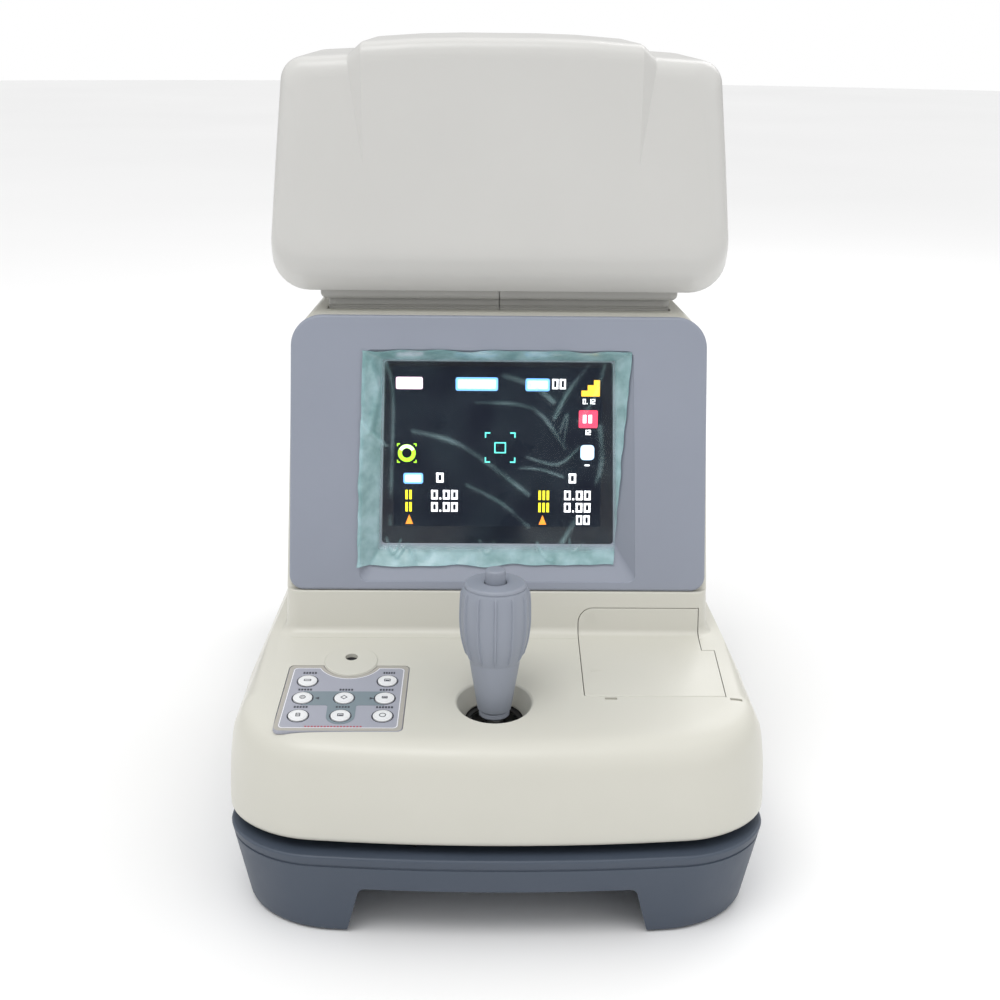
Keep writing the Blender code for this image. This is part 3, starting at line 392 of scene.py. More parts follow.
def moulded(name, colour, roughness, grain=900.0, depth=0.00003, mottle=0.03, coat=0.0):
    """Injection-moulded plastic: a fine grain, faint mottling and handling gloss."""
    graph = Graph(name)
    cloudy = graph.noise(9.0, 4.0)
    graph.links.new(graph.ramp(cloudy, [(0.3, tinted(colour, -mottle)), (0.7, tinted(colour, mottle))]),
                    graph.shader.inputs["Base Color"])
    graph.links.new(graph.spread(graph.noise(35.0, 5.0), roughness - 0.05, roughness + 0.06),
                    graph.shader.inputs["Roughness"])
    graph.bump(graph.noise(grain, 2.0), depth, 0.6)
    graph.set(Coat_Weight=coat, Coat_Roughness=0.25)
    return graph.material


def metal(name, colour, roughness, stretch=(1, 1, 12)):
    graph = Graph(name)
    brushed = graph.noise(220.0, 4.0, stretch)
    graph.links.new(graph.ramp(brushed, [(0.3, tinted(colour, -0.12)), (0.7, tinted(colour, 0.08))]),
                    graph.shader.inputs["Base Color"])
    graph.links.new(graph.spread(brushed, roughness - 0.08, roughness + 0.1),
                    graph.shader.inputs["Roughness"])
    graph.bump(brushed, 0.00003, 0.5)
    graph.set(Metallic=1.0)
    return graph.material


def glowing(name, colour, strength):
    """A lit part of the display: faint pixel noise in an even colour."""
    graph = Graph(name)
    shade = graph.ramp(graph.noise(2600.0, 1.0), [(0.35, tinted(colour, -0.12)), (0.65, colour)])
    graph.links.new(shade, graph.shader.inputs["Emission Color"])
    graph.links.new(shade, graph.shader.inputs["Base Color"])
    graph.links.new(graph.spread(graph.noise(60.0), 0.25, 0.4), graph.shader.inputs["Roughness"])
    graph.bump(graph.noise(1500.0), 0.00001, 0.3)
    graph.set(Emission_Strength=strength, Specular_IOR_Level=0.1)
    return graph.material


def board_look():
    """Green solder mask with pale tracks."""
    graph = Graph("circuit_board")
    cells = graph.node("ShaderNodeTexVoronoi", Scale=220.0)
    cells.feature = "DISTANCE_TO_EDGE"
    graph.links.new(graph.where, cells.inputs["Vector"])
    tracks = graph.ramp(cells.outputs["Distance"], [(0.04, (0.07, 0.30, 0.15)), (0.12, (0.02, 0.16, 0.08))])
    graph.links.new(tracks, graph.shader.inputs["Base Color"])
    graph.links.new(graph.spread(graph.noise(80.0), 0.3, 0.5), graph.shader.inputs["Roughness"])
    graph.bump(cells.outputs["Distance"], 0.00005, 0.5)
    return graph.material


def film_look():
    """The clear green film over the screen; its attribute veil is its opacity: high on the slopes round the
    screen, and raised along the folds so they show as pale streaks, partly computed gloss and partly a
    painted highlight.
    """
    graph = Graph("protective_film")
    shade = graph.ramp(graph.noise(90.0, 6.0), [(0.35, (0.27, 0.48, 0.49)), (0.65, (0.50, 0.74, 0.79))])
    graph.links.new(shade, graph.shader.inputs["Base Color"])
    graph.links.new(graph.spread(graph.noise(160.0, 4.0), 0.08, 0.22), graph.shader.inputs["Roughness"])
    graph.bump(graph.noise(210.0, 5.0), 0.0003, 0.5)
    # opacity from the veil attribute; its rise along the folds is a painted highlight
    veil_and_fold_highlight = graph.node("ShaderNodeAttribute", attribute_name="veil_and_fold_highlight")
    graph.links.new(veil_and_fold_highlight.outputs["Fac"], graph.shader.inputs["Alpha"])
    graph.set(IOR=1.48, Specular_IOR_Level=0.8)
    return graph.material


CREAM = (0.62, 0.61, 0.545)
HEAD_GREY = (0.60, 0.595, 0.575)
LOOKS = {
    "cream_shell": moulded("cream_shell", CREAM, 0.36, mottle=0.018, coat=0.15),
    "head_shell": moulded("head_shell", HEAD_GREY, 0.34, mottle=0.018, coat=0.15),
    "slate_base": moulded("slate_base", (0.060, 0.078, 0.110), 0.5, 700.0, 0.00006, 0.05),
    "bezel_blue": moulded("bezel_blue", (0.285, 0.31, 0.375), 0.42, 800.0, 0.00004, 0.03),
    "stick_blue": moulded("stick_blue", (0.27, 0.295, 0.35), 0.45, 800.0, 0.00005, 0.04),
    "neck_grey": moulded("neck_grey", (0.46, 0.455, 0.43), 0.5, 700.0, 0.00004, 0.03),
    "keypad_film": moulded("keypad_film", (0.36, 0.37, 0.43), 0.42, 1200.0, 0.00002, 0.03, 0.2),
    "key_white": moulded("key_white", (0.80, 0.81, 0.82), 0.28, 1200.0, 0.00002, 0.02, 0.3),
    "black_plastic": moulded("black_plastic", (0.022, 0.022, 0.025), 0.42, 800.0, 0.00005, 0.15),
    "black_glass": moulded("black_glass", (0.010, 0.013, 0.024), 0.16, 1200.0, 0.000004, 0.2),
    "rubber": moulded("rubber", (0.03, 0.03, 0.03), 0.85, 500.0, 0.0001, 0.2),
    "silicone": moulded("silicone", (0.60, 0.64, 0.68), 0.55, 600.0, 0.00006, 0.04),
    "steel": metal("steel", (0.55, 0.56, 0.58), 0.3),
    "brass": metal("brass", (0.70, 0.52, 0.22), 0.32),
    "alloy": metal("alloy", (0.60, 0.61, 0.62), 0.42, (1, 8, 1)),
    "circuit_board": board_look(),
    "paper": moulded("paper", (0.86, 0.86, 0.83), 0.85, 260.0, 0.00012, 0.03),
}
INK = moulded("ink", (0.05, 0.055, 0.07), 0.45, 1500.0, 0.00001, 0.1)
PAD_WHITE = moulded("pad_white", (0.80, 0.80, 0.83), 0.4, 1500.0, 0.00001, 0.03)
PAD_BEIGE = moulded("pad_beige", (0.42, 0.40, 0.36), 0.5, 1500.0, 0.00001, 0.05)
PAD_BAND = moulded("pad_band", (0.20, 0.25, 0.28), 0.42, 1500.0, 0.00001, 0.04)
PAD_RED = moulded("pad_red", (0.45, 0.10, 0.13), 0.45, 1500.0, 0.00001, 0.1)
BLACK_OXIDE = metal("black_oxide", (0.03, 0.03, 0.032), 0.45)
LIT = {"white": glowing("lit_white", (0.95, 0.97, 1.0), 1.3),
       "blue": glowing("lit_blue", (0.20, 0.50, 1.0), 1.0),
       "pale": glowing("lit_pale", (0.55, 0.78, 1.0), 1.1),
       "pink": glowing("lit_pink", (1.0, 0.74, 0.92), 1.1),
       "yellow": glowing("lit_yellow", (0.95, 0.85, 0.04), 1.0),
       "amber": glowing("lit_amber", (1.0, 0.62, 0.06), 1.0),
       "orange": glowing("lit_orange", (1.0, 0.33, 0.04), 1.0),
       "green": glowing("lit_green", (0.45, 0.95, 0.05), 1.0),
       "cyan": glowing("lit_cyan", (0.15, 0.85, 0.75), 0.9),
       "red": glowing("lit_red", (0.85, 0.07, 0.14), 1.0),
       "navy": glowing("lit_navy", (0.010, 0.013, 0.022), 0.5)}


# ---- base ---------------------------------------------------------------------------------
def base_ring(z, inset=0.0):
    drop = (BASE_TOP - z) / BASE_TOP
    half = BASE_HALF - BASE_TAPER * drop - inset
    front, back = 0.5 + 7.0 * drop + inset, LENGTH - 0.5 - 7.0 * drop - inset
    plan = bowed_plan(half, front, back, FRONT_RADIUS - inset, REAR_RADIUS - inset, FRONT_BOW - 1)
    return [(x, d, z) for x, d in plan]


def notch(grow=0.0, fillet=4.0):
    top, low = NOTCH_TOP + grow, NOTCH_HALF_BOTTOM + grow + 1
    profile = outline([(low, -6, 0), (NOTCH_HALF_TOP + grow, top, fillet),
                       (-NOTCH_HALF_TOP - grow, top, fillet), (-low, -6, 0)], 6)
    return front_prism(profile, -20.0, LENGTH + 20)


def side_arch(grow=0.0):
    top = SIDE_ARCH_TOP + grow
    return side_prism([(112 - grow, -6), (376 + grow, -6), (362 + grow, top), (126 - grow, top)],
                      -160, 160)


def make_base():
    levels = [(0.6, 1.2), (1.2, 0.5), (3.4, 0.0), (40.6, 0.0), (41.0, 0.7), (41.9, 0.7), (42.3, 0.0)]
    levels += [(BASE_TOP - drop, inset) for inset, drop in edge(1.4)]
    base = raw("base_housing_shell", loft([base_ring(z, inset) for z, inset in levels]))
    combine(base, notch())
    combine(base, side_arch())
    hollow = raw("hollow", loft([base_ring(BASE_FLOOR, BASE_WALL), base_ring(BASE_TOP - 3.0, BASE_WALL)]))
    combine(hollow, notch(BASE_WALL - 0.4, 1.0))
    combine(hollow, side_arch(BASE_WALL))
    combine(base, hollow)
    combine(base, box((-WELL_HALF, WELL_FRONT, 40), (WELL_HALF, WELL_BACK, 60)))
    combine(base, box((-160, 404.2, 13.8), (-120, 430.4, 35.2)))
    combine(base, box((-160, 438.7, 17.7), (-120, 453.3, 31.3)))
    for foot in ("foot_front_left", "foot_front_right", "foot_rear_left", "foot_rear_right"):
        low, high = (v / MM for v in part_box(foot))
        middle = ((low.x + high.x) / 2, (low.y + high.y) / 2 - FRONT_Y / MM, 0.0)
        radius = (high.x - low.x) / 2
        combine(base, turned([(radius + GAP, -5.0), (radius + GAP, 3.0)], middle, count=48))
        rounded = [(radius - 2.2, 0.0), (radius - 1.0, 0.15), (radius - 0.3, 0.6), (radius, 1.3),
                   (radius, 2.7)]
        pad = raw(foot + "_pad", turned(rounded, middle, count=64))
        combine(pad, turned([(radius - 5.0, -1.0), (radius - 5.0, 0.7), (radius - 6.2, 0.7),
                             (radius - 6.2, -1.0)], middle, count=48, bored=True))
        finish_piece(pad, "base", "rubber", (foot,))
    soften(base, 0.7)
    finish_piece(base, "base", "slate_base", ("base_housing",))


# ---- stage and tower ----------------------------------------------------------------------
STAGE_PROFILE = ((0.0, 138.9, 6.6), (0.015, 139.6, 5.8), (0.07, 140.0, 5.2), (0.3, 139.6, 5.7),
                 (0.5, 139.0, 6.6), (0.76, 137.2, 9.0), (0.9, 134.2, 12.6), (0.965, 130.6, 17.0),
                 (0.993, 126.0, 22.0), (1.0, 120.0, 28.0))


def stage_ring(half, front, height, wall=0.0):
    inset = STAGE_HALF - half
    plan = bowed_plan(half, front, STAGE_BACK - inset, FRONT_RADIUS - inset * 0.6,
                      REAR_RADIUS - inset * 0.6, FRONT_BOW)
    ring = []
    for x, d in plan:
        z = height(d)
        widest = STAGE_HALF - wall - SIDE_LEAN * max(0.0, z - SIDE_LEAN_Z)
        widest -= REAR_TAPER * max(0.0, d - REAR_TAPER_D)
        ring.append((math.copysign(min(abs(x), widest), x), d, z))
    return ring


def stage_loft(rings):
    return loft(rings, fold=[i for i, p in enumerate(rings[-1]) if abs(p[1] - FOOT_D) < 0.001])


def tower_half(z, d, chamfer=0.0):
    share = (z - FOOT_Z) / (TOWER_TOP - FOOT_Z)
    half = TOWER_HALF_LOW + share * (TOWER_HALF_TOP - TOWER_HALF_LOW)
    half -= TOWER_TAPER * max(0.0, d - TOWER_TAPER_D)
    return max(half - chamfer, min(half, TOWER_TOP_HALF))


def tower_front_ring(z, seat=0.0, chamfer=0.0, back=TOWER_SPLIT, wall=0.0, flare=0.0):
    front = face_d(z) + seat + wall + chamfer * FRONT_SHARE - flare
    near = tower_half(z, front, chamfer) - wall + flare
    far = tower_half(z, back, chamfer) - wall + flare
    plan = outline([(near, front, 7 - seat + flare), (far, back, 0), (-far, back, 0),
                    (-near, front, 7 - seat + flare)], 10)
    return [(x, d, z) for x, d in plan]


def tower_rear_ring(z, chamfer=0.0, front=TOWER_SPLIT + GAP, wall=0.0, flare=0.0):
    back = TOWER_BACK - wall - chamfer - 6.0 * (z - FOOT_Z) / (TOWER_TOP - FOOT_Z)
    near = tower_half(z, front, chamfer) - wall + flare
    far = tower_half(z, back, chamfer) - wall + flare
    radius = 20 - wall - chamfer
    plan = outline([(near, front, 0), (far, back + flare, radius), (-far, back + flare, radius),
                    (-near, front, 0)], 12)
    return [(x, d, z) for x, d in plan]


def shoulder_levels():
    """(height, chamfer) pairs up the tower's rounded shoulder, to the shown top."""
    slope = TOWER_CHAMFER / (TOWER_TOP - TOWER_SHOULDER)
    start, end = TOWER_SHOULDER - 5, TOWER_SHOULDER + 5
    levels = [(start + k, slope * k * k / 20) for k in range(11)]
    straight = slope * (TOWER_SHOWN_TOP - 1.5 - end)
    levels.append((TOWER_SHOWN_TOP - 1.5, slope * 5 + straight))
    levels.append((TOWER_SHOWN_TOP - 0.4, slope * 5 + straight + 1.5))
    levels.append((TOWER_SHOWN_TOP, slope * 5 + straight + 2.8))
    return levels


def flare_levels(radius=5.0, foot=FOOT_Z - 0.8, steps=7):
    """(height, flare) pairs of the hollow curve where the tower meets the deck."""
    pairs = [(foot - 12, radius + 1)]
    for k in range(steps + 1):
        share = k / steps
        pairs.append((foot + radius * share, radius * (1 - math.sqrt(1 - (1 - share) ** 2))))
    return pairs


def neck_opening(low, high, grow=0.4):
    return box((-NECK_HALF - grow, NECK_FRONT - grow, low), (NECK_HALF + grow, NECK_BACK + grow, high))


def well_cone(rings):
    return loft([[deck_point(STICK_X + a * r, STICK_D + b * r, rise) for a, b in circle(1.0, 96)]
                 for r, rise in rings])


def pad_outline(inset, corner=3.0, notch_grow=None):
    """The keypad's outline, moved in by inset, with a round bite for the lock's boss."""
    grow = inset if notch_grow is None else notch_grow
    (x0, d0), (x1, _), (x2, d1), (x3, _) = PAD_CORNERS
    top = d1 - inset
    bite = BOSS_RADIUS + grow
    reach = math.asin((BOSS_D - top) / bite)
    points = outline([(x0 + inset, d0 + inset, corner), (x1 - inset, d0 + inset, corner),
                      (x2 - inset, top, corner), (x3 + inset, top, corner)], 6)
    turn = 7 * 3
    arc = [(BOSS_X + bite * math.cos(-reach - (math.pi - 2 * reach) * k / 28),
            BOSS_D + bite * math.sin(-reach - (math.pi - 2 * reach) * k / 28)) for k in range(29)]
    return points[:turn] + arc + points[turn:]


def lid_edges(grow):
    """The two prisms that round the lid's left corners, seen from the front and from above."""
    seen_front = outline([(160, 70, 0), (160, LID_TOP_Z + grow, 0),
                          (LID_LEFT - grow, LID_TOP_Z + grow, 8.0 + grow), (LID_LEFT - grow, 70, 0)], 12)
    seen_above = outline([(160, LID_FRONT - grow, 0), (160, 150, 0), (LID_LEFT - grow, 150, 0),
                          (LID_LEFT - grow, LID_FRONT - grow, 1.2 + grow)], 10)
    return front_prism(seen_front, 40, 160), prism(seen_above, 70, 160)


def make_stage():
    rings = []
    for share, half, front in curve_through(STAGE_PROFILE, 36):
        share = min(share, 1.0)
        rings.append(stage_ring(half, front, lambda d, s=share: (1 - s) * STAGE_BOTTOM + s * deck_z(d)))
    stage = raw("stage_shell", stage_loft(rings))
    strip_top = FOOT_Z + STRIP_HEIGHT
    tower = [tower_front_ring(z, flare=flare) for z, flare in flare_levels()]
    tower += [tower_front_ring(strip_top - drop, inset) for inset, drop in edge(0.9, 3)]
    tower.append(tower_front_ring(strip_top + 0.01, BEZEL_SEAT))
    tower += [tower_front_ring(z, BEZEL_SEAT, chamfer) for z, chamfer in shoulder_levels()]
    combine(stage, loft(tower), "UNION")
    boss = [(BOSS_RADIUS + 0.6, -2.0), (BOSS_RADIUS + 0.4, 0.0)]
    boss += [(BOSS_RADIUS - inset, 0.75 - drop) for inset, drop in edge(0.7, 4)]
    boss_rings = [[deck_point(BOSS_X + a * r, BOSS_D + b * r, rise) for a, b in circle(1.0, 72)]
                  for r, rise in boss]
    combine(stage, loft(boss_rings), "UNION")
    hollow = [stage_ring(136.6, 8.8, lambda d: STAGE_BOTTOM - 8, STAGE_WALL),
              stage_ring(135.4, 10.4, lambda d: 0.24 * STAGE_BOTTOM + 0.76 * deck_z(d) - 4, DECK_WALL),
              stage_ring(128.5, 20.0, lambda d: deck_z(d) - DECK_WALL, DECK_WALL)]
    combine(stage, stage_loft(hollow))
    inside = [tower_front_ring(z, BEZEL_SEAT, chamfer, 305.0, STAGE_WALL)
              for z, chamfer in ((80, 0), (TOWER_SHOULDER, 0), (TOWER_SHOWN_TOP - 3, 9.5))]
    combine(stage, loft(inside))
    combine(stage, neck_opening(270, 310))
    hole = [[face_point(x, up, inward) for x, up in rounded_box(-82, 82, 28, 164, 6)]
            for inward in (-4.0, 24.0)]
    combine(stage, loft(hole))
    combine(stage, well_cone([(WELL_THROAT + 2.5, -WELL_DEPTH), (WELL_RIM + 2.5, -1.0)]), "UNION")
    rim = [(WELL_THROAT, -WELL_DEPTH - 3), (WELL_THROAT, -WELL_DEPTH + 1), (WELL_RIM - 0.9, -1.6)]
    rim += [(WELL_RIM - 0.9 + 2.4 * (1 - math.cos(t)), -1.6 + 1.75 * math.sin(t))
            for t in (math.radians(15 * k) for k in range(1, 7))]
    combine(stage, well_cone(rim + [(WELL_RIM + 4, 5.0)]))

    gap = LID_GAP
    opening = raw("opening", side_prism([(LID_FRONT - gap, 80), (145, 80), (145, LID_TOP_Z + gap),
                                         (110, LID_TOP_Z + gap), (LID_FRONT - gap, 122)],
                                        LID_LEFT - gap, LID_RIGHT + gap))
    combine(opening, box((100, LID_FRONT - gap, 90), (LID_DECK_RIGHT + gap, LID_STEP_D + gap, 122)), "UNION")
    for shape in lid_edges(gap):
        combine(opening, shape, "INTERSECT")
    combine(stage, opening)
    for left in (55.7, 121.1):
        combine(stage, box((left, 57.4, 106.5), (left + 6.4, 59.3, 122)))
    combine(stage, sheet_on(deck_point, pad_outline(-0.3, notch_grow=0.35), -PAD_RECESS, 4.0))
    combine(stage, turned([(3.4, -12), (3.4, 12)], (BOSS_X, HOLE_D, deck_z(BOSS_D)), count=48))
    plug = [(3.3, -4.0), (3.3, -1.6), (2.7, -1.6), (2.5, -2.2), (1.0, -2.6)]
    piece("lock_well", turned(plug, (BOSS_X, HOLE_D, deck_z(HOLE_D) + 0.8)), "stage", "black_plastic")
    soften(stage, 0.45)
    finish_piece(stage, "stage", "cream_shell", ("stage_housing",), angle=28)

    rear = raw("tower_rear_shell", loft([tower_rear_ring(z, flare=flare) for z, flare in flare_levels()]
                                        + [tower_rear_ring(z, chamfer) for z, chamfer in shoulder_levels()]))
    combine(rear, loft([tower_rear_ring(z, chamfer, 228, STAGE_WALL)
                        for z, chamfer in ((90, 0), (TOWER_SHOULDER, 0), (TOWER_SHOWN_TOP - 3, 9.5))]))
    combine(rear, neck_opening(270, 310))
    combine(rear, box((-150, 220, 70), (150, 370, deck_z(370) + 0.35)))
    for side in (-1, 1):
        for k in range(9):
            slot = outline([(side * 62 + 24, 150 + 7 * k, 1.4), (side * 62 + 24, 153 + 7 * k, 1.4),
                            (side * 62 - 24, 153 + 7 * k, 1.4), (side * 62 - 24, 150 + 7 * k, 1.4)], 4)
            combine(rear, front_prism(slot, 330, 360))
    soften(rear, 0.5)
    finish_piece(rear, "stage", "cream_shell", ("tower_rear_cover",), angle=28)
    for x, z in ((-88, 136), (88, 136), (-80, 262), (80, 262)):
        back = TOWER_BACK - 6.0 * (z - FOOT_Z) / (TOWER_TOP - FOOT_Z)
        make_screw("tower_screw_{:+.0f}_{:.0f}".format(x, z).replace("+", "p").replace("-", "m"),
                   (x, back + 0.1, z), "stage")
    make_screw("rim_screw", (-42.0, 12.0, 50.6), "stage", 1.7, -1)


def make_screw(name, centre, body, radius=2.6, facing=1):
    """A pan-head screw with a cross recess, its head facing back (1) or front (-1)."""
    x, d, z = centre
    profile = [(radius, -0.6), (radius, 0.1), (radius * 0.9, 0.6), (radius * 0.62, 0.95), (radius * 0.2, 1.1)]
    screw = raw(name, turned([(r, facing * h) for r, h in profile], (x, d, z), "y", 32))
    arm, slim = radius * 0.55, radius * 0.14
    for wide, tall in ((arm, slim), (slim, arm)):
        ends = sorted((d + facing * 0.5, d + facing * 3.0))
        combine(screw, box((x - wide, ends[0], z - tall), (x + wide, ends[1], z + tall)))
    finish_piece(screw, body, "steel", material=BLACK_OXIDE)


# ---- monitor ------------------------------------------------------------------------------
def bezel_ring(half_low, half_high, low, high, inward, radius_low, radius_high):
    corners = [(half_low, low, radius_low), (half_high, high, radius_high),
               (-half_high, high, radius_high), (-half_low, low, radius_low)]
    return [face_point(x, up, inward) for x, up in outline(corners, 12)]


def make_monitor():
    back, low, top = BEZEL_SEAT - GAP, STRIP_HEIGHT + 0.8, STRIP_HEIGHT + 152.4
    rings = [bezel_ring(115.4, 112.6, low, top, back, 8, 17)]
    rings += [bezel_ring(115.4 - i, 112.6 - i, low + i, top - i, drop, 8 - i, 17 - i)
              for i, drop in edge(1.6, 6)]
    for share in (0.0, 0.35, 0.7, 1.0):
        i = 0.6 * (1 - share)
        rings.append(bezel_ring(76.2 + i, 72.6 + i, 29.5 - i, 157.2 + i, 0.6 * share ** 2, 4, 4))
    rings += [bezel_ring(64.6, 62.6, 49.0, 150.6, 10.0, 2, 2),
              bezel_ring(67.0, 65.0, 46.6, 153.0, 10.0, 2, 2),
              bezel_ring(79.0, 75.4, 32.2, 160.0, back, 4, 4)]
    piece("monitor_bezel_shell", loft(rings, closed=True), "stage", "bezel_blue", ("monitor_bezel",),
          angle=20)

    rings = [[face_point(x, up, inward) for x, up in rounded_box(-68 + i, 68 - i, 44 + i, 156 - i, 2)]
             for inward, i in ((17, 0), (10.6, 0), (GLASS_INWARD, 0.3))]
    piece("lcd_glass", loft(rings), "stage", "black_glass", ("lcd_panel",))
    lit = sheet_on(screen_point, rounded_box(-58.1, 57.2, 58.7, 147.8, 0.6, 3), 0.02, 0.12)
    piece("lcd_lit_area", lit, "stage", "black_glass", material=LIT["navy"])
    make_screen_marks()
    make_film()


def screen_point(x, up, height=0.0):
    return face_point(x, up, GLASS_INWARD - height)


SEGMENTS = {"0": "abcdef", "1": "bc", "2": "abged"}


def figure(text, left, top, wide, tall, stroke):
    """Numerals drawn with seven-segment strokes; a dot takes half a place."""
    shapes, x = [], left
    for letter in text:
        if letter == ".":
            shapes.append(rounded_box(x, x + stroke, top - tall, top - tall + stroke, stroke * 0.2, 2))
            x += wide * 0.55
            continue
        right, middle, low = x + wide - stroke, top - tall / 2, top - tall
        bars = {"a": (x, right + stroke, top - stroke, top), "d": (x, right + stroke, low, low + stroke),
                "g": (x, right + stroke, middle - stroke / 2, middle + stroke / 2),
                "f": (x, x + stroke, middle, top), "e": (x, x + stroke, low, middle),
                "b": (right, right + stroke, middle, top), "c": (right, right + stroke, low, middle)}
        shapes += [rounded_box(*bars[s], stroke * 0.2, 2) for s in SEGMENTS[letter]]
        x += wide + stroke * 0.75
    return shapes


def on_screen(plans, lift=0.0):
    return merged([sheet_on(screen_point, plan, 0.14 + lift, 0.24 + lift + 0.004 * (k % 5))
                   for k, plan in enumerate(plans)])


def bars_between(left, right, low, high, count, share=0.62):
    """A row of short bars that stands for a word."""
    step = (right - left) / count
    return [rounded_box(left + step * k, left + step * (k + share), low, high, 0.15, 2) for k in range(count)]


def make_screen_marks():
    white, yellow, orange = [], [], []
    rows = (79.1, 72.2, 65.2)
    white += figure("00", 29.4, 141.3, 3.4, 5.6, 1.0) + figure("0.12", 46.4, 130.4, 1.7, 2.9, 0.55)
    white += figure("12", 46.9, 113.3, 1.9, 2.9, 0.6)
    white += figure("0", -34.3, 88.8, 4.1, 5.5, 1.2) + figure("0", 39.3, 88.8, 4.1, 5.5, 1.2)
    for top in rows[:2]:
        white += figure("0.00", -37.1, top, 3.7, 5.3, 1.1) + figure("0.00", 36.9, top, 3.7, 5.3, 1.1)
        yellow += bars_between(-51.4, -47.1, top - 5.3, top, 2) + bars_between(22.6, 29.4, top - 5.3, top, 3)
    white += figure("00", 43.8, rows[2], 3.4, 5.3, 1.0)
    white.append(rounded_box(48.0, 50.8, 93.0, 93.9, 0.2, 2))
    for left in (-51.4, 22.9):
        orange.append([(left, rows[2] - 5.3), (left + 4.2, rows[2] - 5.3), (left + 2.1, rows[2])])
    stairs = [(45.6, 131.8), (55.7, 131.8), (55.7, 140.8), (52.4, 140.8), (52.4, 138.0), (49.0, 138.0),
              (49.0, 135.0), (45.6, 135.0)]
    groups = {
        "marks_white": ("white", white), "marks_yellow": ("yellow", yellow),
        "marks_orange": ("orange", orange),
        "mark_stairs": ("amber", [stairs]),
        "mark_red": ("red", [rounded_box(44.4, 54.8, 114.3, 124.1, 0.8, 3)]),
        "marks_blue": ("blue", [rounded_box(-23.7, -0.4, 134.5, 141.9, 1.2, 4),
                                rounded_box(14.7, 28.1, 134.5, 141.5, 1.2, 4),
                                rounded_box(-52.5, -41.6, 82.6, 88.6, 1.2, 4)]),
        "mark_pink": ("pink", [rounded_box(-56.5, -41.8, 135.2, 141.9, 1.0, 4)]),
        "mark_tube": ("pale", [outline([(45.6, 96.4, 2), (53.2, 96.4, 2), (53.2, 104.8, 2),
                                        (45.6, 104.8, 2)], 4)])}
    for name, (look, plans) in groups.items():
        piece(name, on_screen(plans), "stage", "black_glass", material=LIT[look])
    over = [rounded_box(-22.6, -1.5, 135.6, 140.8, 0.8, 3), rounded_box(15.7, 27.1, 135.6, 140.4, 0.8, 3),
            rounded_box(-51.6, -42.5, 83.5, 87.7, 0.8, 3)]
    piece("marks_pale", on_screen(over, 0.12), "stage", "black_glass", material=LIT["pale"])
    words = bars_between(-20.9, -2.7, 136.5, 139.9, 6) + bars_between(18.2, 25.6, 136.4, 139.6, 2, 0.6)
    words += bars_between(46.6, 52.8, 117.0, 121.6, 2) + bars_between(-50.4, -43.3, 84.3, 86.9, 3)
    piece("marks_words", on_screen(words, 0.24), "stage", "black_glass", material=LIT["white"])

    cyan = [strip_on(screen_point, rounded_box(-2.2, 4.3, 99.9, 106.1, 0.3, 2),
                     rounded_box(-1.5, 3.6, 100.6, 105.4, 0.2, 2), 0.14, 0.25)]
    cyan += corner_marks(1.05, 103.1, 8.5, 3.0, 0.75)
    piece("marks_target", merged(cyan), "stage", "black_glass", material=LIT["cyan"])
    piece("marks_ring_corners", merged(corner_marks(-50.6, 99.7, 5.4, 1.6, 0.6)), "stage", "black_glass",
          material=LIT["green"])
    ring = [[(-50.6 + a, 99.7 + b) for a, b in circle(r, 40)] for r in (4.9, 2.7)]
    piece("mark_ring", strip_on(screen_point, *ring, 0.14, 0.25), "stage", "black_glass",
          material=LIT["green"])
    upper = [[(-50.6 + r * math.cos(math.pi * k / 20), 99.7 + r * math.sin(math.pi * k / 20))
              for k in range(3, 18)] for r in (4.6, 3.0)]
    piece("mark_ring_shine", on_screen([upper[0] + upper[1][::-1]], 0.12), "stage", "black_glass",
          material=LIT["white"])


def corner_marks(x, up, reach, arm, stroke):
    """Four L-shaped corners round a target."""
    made = []
    for sx in (-1, 1):
        for su in (-1, 1):
            plan = [(0, 0), (arm, 0), (arm, stroke), (stroke, stroke), (stroke, arm), (0, arm)]
            points = [(x + sx * (reach - a), up + su * (reach - b)) for a, b in plan]
            made.append(sheet_on(screen_point, points, 0.14, 0.25))
    return made


# folds in the film, each a line of (x, up the face), its width and its height
FOLDS = ((((-47, 112), (-20, 104), (17, 77)), 1.7, 1.1), (((-17, 82), (2, 72), (17, 59)), 1.4, 0.8),
         (((-12, 128), (19, 125), (37, 103)), 1.2, 0.8), (((3, 143), (18, 138), (30, 129)), 1.8, 1.0),
         (((31, 120), (38, 134), (49, 149)), 1.6, 1.0), (((16, 98), (33, 94), (45, 104)), 1.1, 0.8),
         (((56, 115), (56, 88), (36, 50)), 1.8, 1.1), (((44, 118), (52, 130), (58, 149)), 1.4, 0.8),
         (((-70, 150), (-66, 134), (-71, 112)), 2.2, 1.2), (((-62, 150), (-58, 130), (-60, 60)), 1.3, 0.9),
         (((-75, 118), (-66, 108), (-62, 104)), 1.2, 1.0), (((-62, 52), (-58, 44), (-54, 51)), 0.8, 0.9),
         (((-56, 42), (-50, 49), (-46, 41)), 0.8, 0.9), (((-10, 51), (-6, 44), (-2, 50)), 0.8, 0.9),
         (((22, 50), (26, 43), (31, 40)), 0.8, 0.9), (((40, 52), (42, 45), (47, 49)), 0.8, 0.8),
         (((12, 92), (24, 91), (36, 87)), 0.9, 0.5), (((34, 112), (38, 122), (36, 104)), 0.9, 0.8))
FILM_LEFT, FILM_RIGHT, FILM_LOW, FILM_TOP = -78.0, 64.5, 37.0, 157.0
FOLD_SHARPNESS = 0.7
FILM_SKEW_LEFT, FILM_SKEW_RIGHT = 4.0, 7.5      # the sheet lies a little askew


